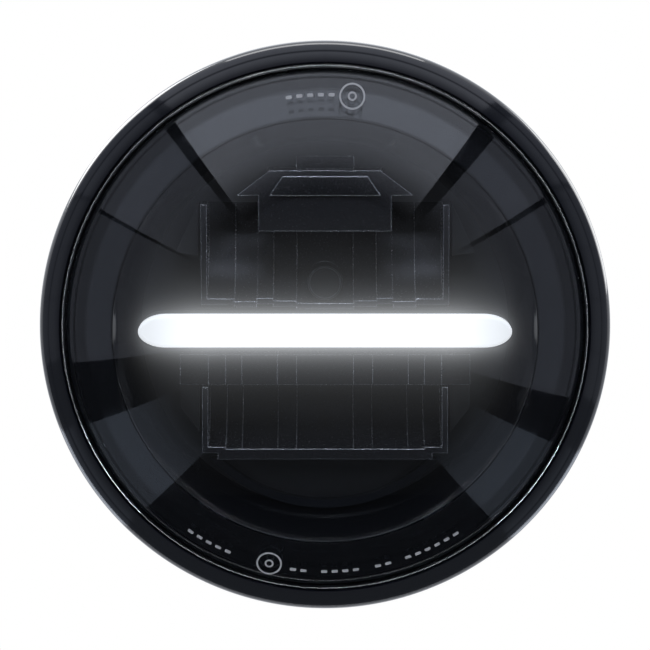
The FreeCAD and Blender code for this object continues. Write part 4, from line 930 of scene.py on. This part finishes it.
    def card(self, panel: Panel) -> None:
        """One glowing sector, bent round the lamp's axis.

        Args:
            panel: its place and level.
        """
        start, full = (-math.cos(math.radians(panel.near_tilt + turn)) for turn in (0.0, panel.fade))
        card = self._shell(panel.name, self.radius, (panel.near_tilt, panel.far_tilt),
                           (panel.from_deg, panel.to_deg))
        card.visible_shadow = False
        if panel.only:
            self._light_only(card, panel.only)
        material = new_material(panel.name)
        tree = material.node_tree
        place = add(tree, "ShaderNodeTexCoord").outputs["Object"]
        unit = add(tree, "ShaderNodeVectorMath", {0: place}, operation="NORMALIZE")
        parts = add(tree, "ShaderNodeSeparateXYZ", {"Vector": unit.outputs["Vector"]})
        fade = ramp(tree, parts.outputs["Y"], (start, full), (0.0, panel.level), smooth=True)
        glow = add(tree, "ShaderNodeEmission", {"Color": linear(panel.colour), "Strength": fade})
        surface = glow.outputs["Emission"]
        if panel.only:
            clear = add(tree, "ShaderNodeBsdfTransparent")
            both = add(tree, "ShaderNodeAddShader", {0: surface, 1: clear.outputs["BSDF"]})
            surface = both.outputs["Shader"]
        add(tree, "ShaderNodeOutputMaterial", {"Surface": surface})
        card.data.materials.append(material)

    def tent(self) -> None:
        """Black cloth behind the panels, so that the lens mirrors the dark between them."""
        cloth = self._shell("black_tent", self.tent_radius, (0.0, self.tent_tilt), (0.0, 360.0))
        cloth.visible_shadow = False
        material = new_material("black_cloth")
        tree = material.node_tree
        glow = add(tree, "ShaderNodeEmission", {"Color": linear("C8CEDF"), "Strength": self.dark})
        add(tree, "ShaderNodeOutputMaterial", {"Surface": glow.outputs["Emission"]})
        cloth.data.materials.append(material)

    def painted_glow(self) -> None:
        """Painted glow round the lit bar, as the eye sees it: a clear card just in front of it that gives off
        light of its own.
        """
        low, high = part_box("bar_diffuser")
        bm = bmesh.new()
        place = Matrix.Translation((0, low[1] - self.glow_gap_mm * MM, 0))
        upright = Matrix.Rotation(math.pi / 2, 4, "X") @ Matrix.Diagonal((*self.glow_size, 1, 1))
        bmesh.ops.create_grid(bm, x_segments=2, y_segments=2, size=0.5, matrix=place @ upright)
        card = self._stage("bar_painted_glow", bm)
        card.visible_shadow = False
        card.visible_glossy = False
        card.visible_diffuse = False
        material = new_material("bar_painted_glow")
        tree = material.node_tree
        place = add(tree, "ShaderNodeTexCoord").outputs["Object"]
        parts = add(tree, "ShaderNodeSeparateXYZ", {"Vector": place})
        across = maths(tree, "ABSOLUTE", parts.outputs["X"])
        past = maths(tree, "MAXIMUM", maths(tree, "SUBTRACT", across, high[0] - high[2]), 0.0)
        spot = add(tree, "ShaderNodeCombineXYZ", {"X": past, "Z": parts.outputs["Z"]})
        away = add(tree, "ShaderNodeVectorMath", {0: spot.outputs["Vector"]}, operation="LENGTH")
        gap = maths(tree, "MAXIMUM", maths(tree, "SUBTRACT", away.outputs["Value"], high[2]), 0.0)
        total = 0.0
        for level, reach_mm in self.glow_terms:
            fall = maths(tree, "EXPONENT", maths(tree, "MULTIPLY", gap, -1 / (reach_mm * MM)))
            total = maths(tree, "ADD", maths(tree, "MULTIPLY", fall, level), total)
        ends = ramp(tree, across, self.glow_ends, (1.0, self.glow_left), smooth=True)
        total = maths(tree, "MULTIPLY", total, ends)
        # painted glow: light given off by the card itself, where there is no lamp
        glow = add(tree, "ShaderNodeEmission", {"Color": linear("FFFFFF"), "Strength": total})
        clear = add(tree, "ShaderNodeBsdfTransparent")
        both = add(tree, "ShaderNodeAddShader", {0: glow.outputs["Emission"], 1: clear.outputs["BSDF"]})
        add(tree, "ShaderNodeOutputMaterial", {"Surface": both.outputs["Shader"]})
        card.data.materials.append(material)

    def inside(self) -> None:
        """Soft lamps for the optics alone, so that their facets show through the lens."""
        optics = [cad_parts[node].name for node in self.optics]
        for lamp in self.inside_lamps:
            self._light_only(self._hang(lamp), optics)
        self._light_only(self._hang(self.marks_lamp), ["lens_marks"])
        low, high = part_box("bar_diffuser")
        width, height = (2 * reach * self.spill_share for reach in (high[0], high[2]))
        bar = self._hang(Lamp("bar_spill", (0.0, low[1] - self.spill_gap_mm * MM, 0.0), self.spill, width))
        bar.data.shape = "RECTANGLE"
        bar.data.size_y = height
        bar.rotation_euler = (math.pi / 2, 0, 0)
        bar.visible_transmission = False
        self._light_only(bar, optics)

    def lights(self) -> None:
        """Soft lamps behind and above the piece, for the housing and the fins."""
        for lamp in self.room_lamps:
            self._hang(lamp)

    @staticmethod
    def _light_only(source: bpy.types.Object, names: Sequence[str]) -> None:
        """Keeps a light to some pieces.

        Args:
            source: lamp or panel.
            names: the objects that it lights.
        """
        pieces = bpy.data.collections.new(source.name + "_lights")
        for name in names:
            pieces.objects.link(bpy.data.objects[name])
        source.light_linking.receiver_collection = pieces

    @staticmethod
    def _hang(lamp: Lamp) -> bpy.types.Object:
        """Adds a square soft lamp that faces the piece.

        Args:
            lamp: its name, place, power and size.

        Returns:
            The lamp.
        """
        data = bpy.data.lights.new(lamp.name, "AREA")
        data.energy = lamp.power
        data.size = lamp.size
        light = bpy.data.objects.new(lamp.name, data)
        light.location = lamp.spot
        light.rotation_euler = (-Vector(lamp.spot)).to_track_quat("-Z", "Y").to_euler()
        light.visible_camera = False
        bpy.context.scene.collection.objects.link(light)
        return light

    def _shell(self, name: str, radius: float, tilt: Pair, turn: Pair) -> bpy.types.Object:
        """Part of a sphere round the lamp, unseen by the camera.

        Args:
            name: object name.
            radius: of the sphere, in metres.
            tilt: from and to, in degrees from the lamp's axis.
            turn: from and to, in degrees clockwise from the right.

        Returns:
            The object.
        """
        bm = bmesh.new()
        near, far = (math.radians(angle) for angle in tilt)
        start = bm.verts.new((math.sin(near) * radius, -math.cos(near) * radius, 0))
        bmesh.ops.spin(bm, geom=[start], cent=(0, 0, 0), axis=(0, 0, 1), angle=far - near, steps=16,
                       use_duplicate=False)
        round_axis = Matrix.Rotation(math.radians(turn[0]), 3, "Y")
        bmesh.ops.rotate(bm, verts=bm.verts, cent=(0, 0, 0), matrix=round_axis)
        bmesh.ops.spin(bm, geom=bm.verts[:] + bm.edges[:], cent=(0, 0, 0), axis=(0, 1, 0),
                       angle=math.radians(turn[1] - turn[0]), steps=32, use_duplicate=False)
        shell = self._stage(name, bm)
        shell.visible_camera = False
        return shell

    @staticmethod
    def _stage(name: str, bm: bmesh.types.BMesh) -> bpy.types.Object:
        """Turns a bmesh into a stage object.

        Args:
            name: object name.
            bm: its mesh, in metres. It is freed.

        Returns:
            The object.
        """
        mesh = bpy.data.meshes.new(name)
        bm.to_mesh(mesh)
        bm.free()
        piece = bpy.data.objects.new(name, mesh)
        bpy.context.scene.collection.objects.link(piece)
        return piece


def main() -> None:
    """Builds the lamp's looks in order, then the studio."""
    logging.basicConfig(level=logging.INFO, format="%(message)s")
    shop = Workshop()
    for surface, nodes in NODE_SURFACES.items():
        for node in nodes:
            shop.dress(node, surface)
    dome = Dome()
    Lens(dome).build(shop)
    Marks(dome).build(shop)
    OuterRing().build(shop)
    Bowl(dome).build(shop)
    Studio().build()


if __name__ == "__main__":
    main()
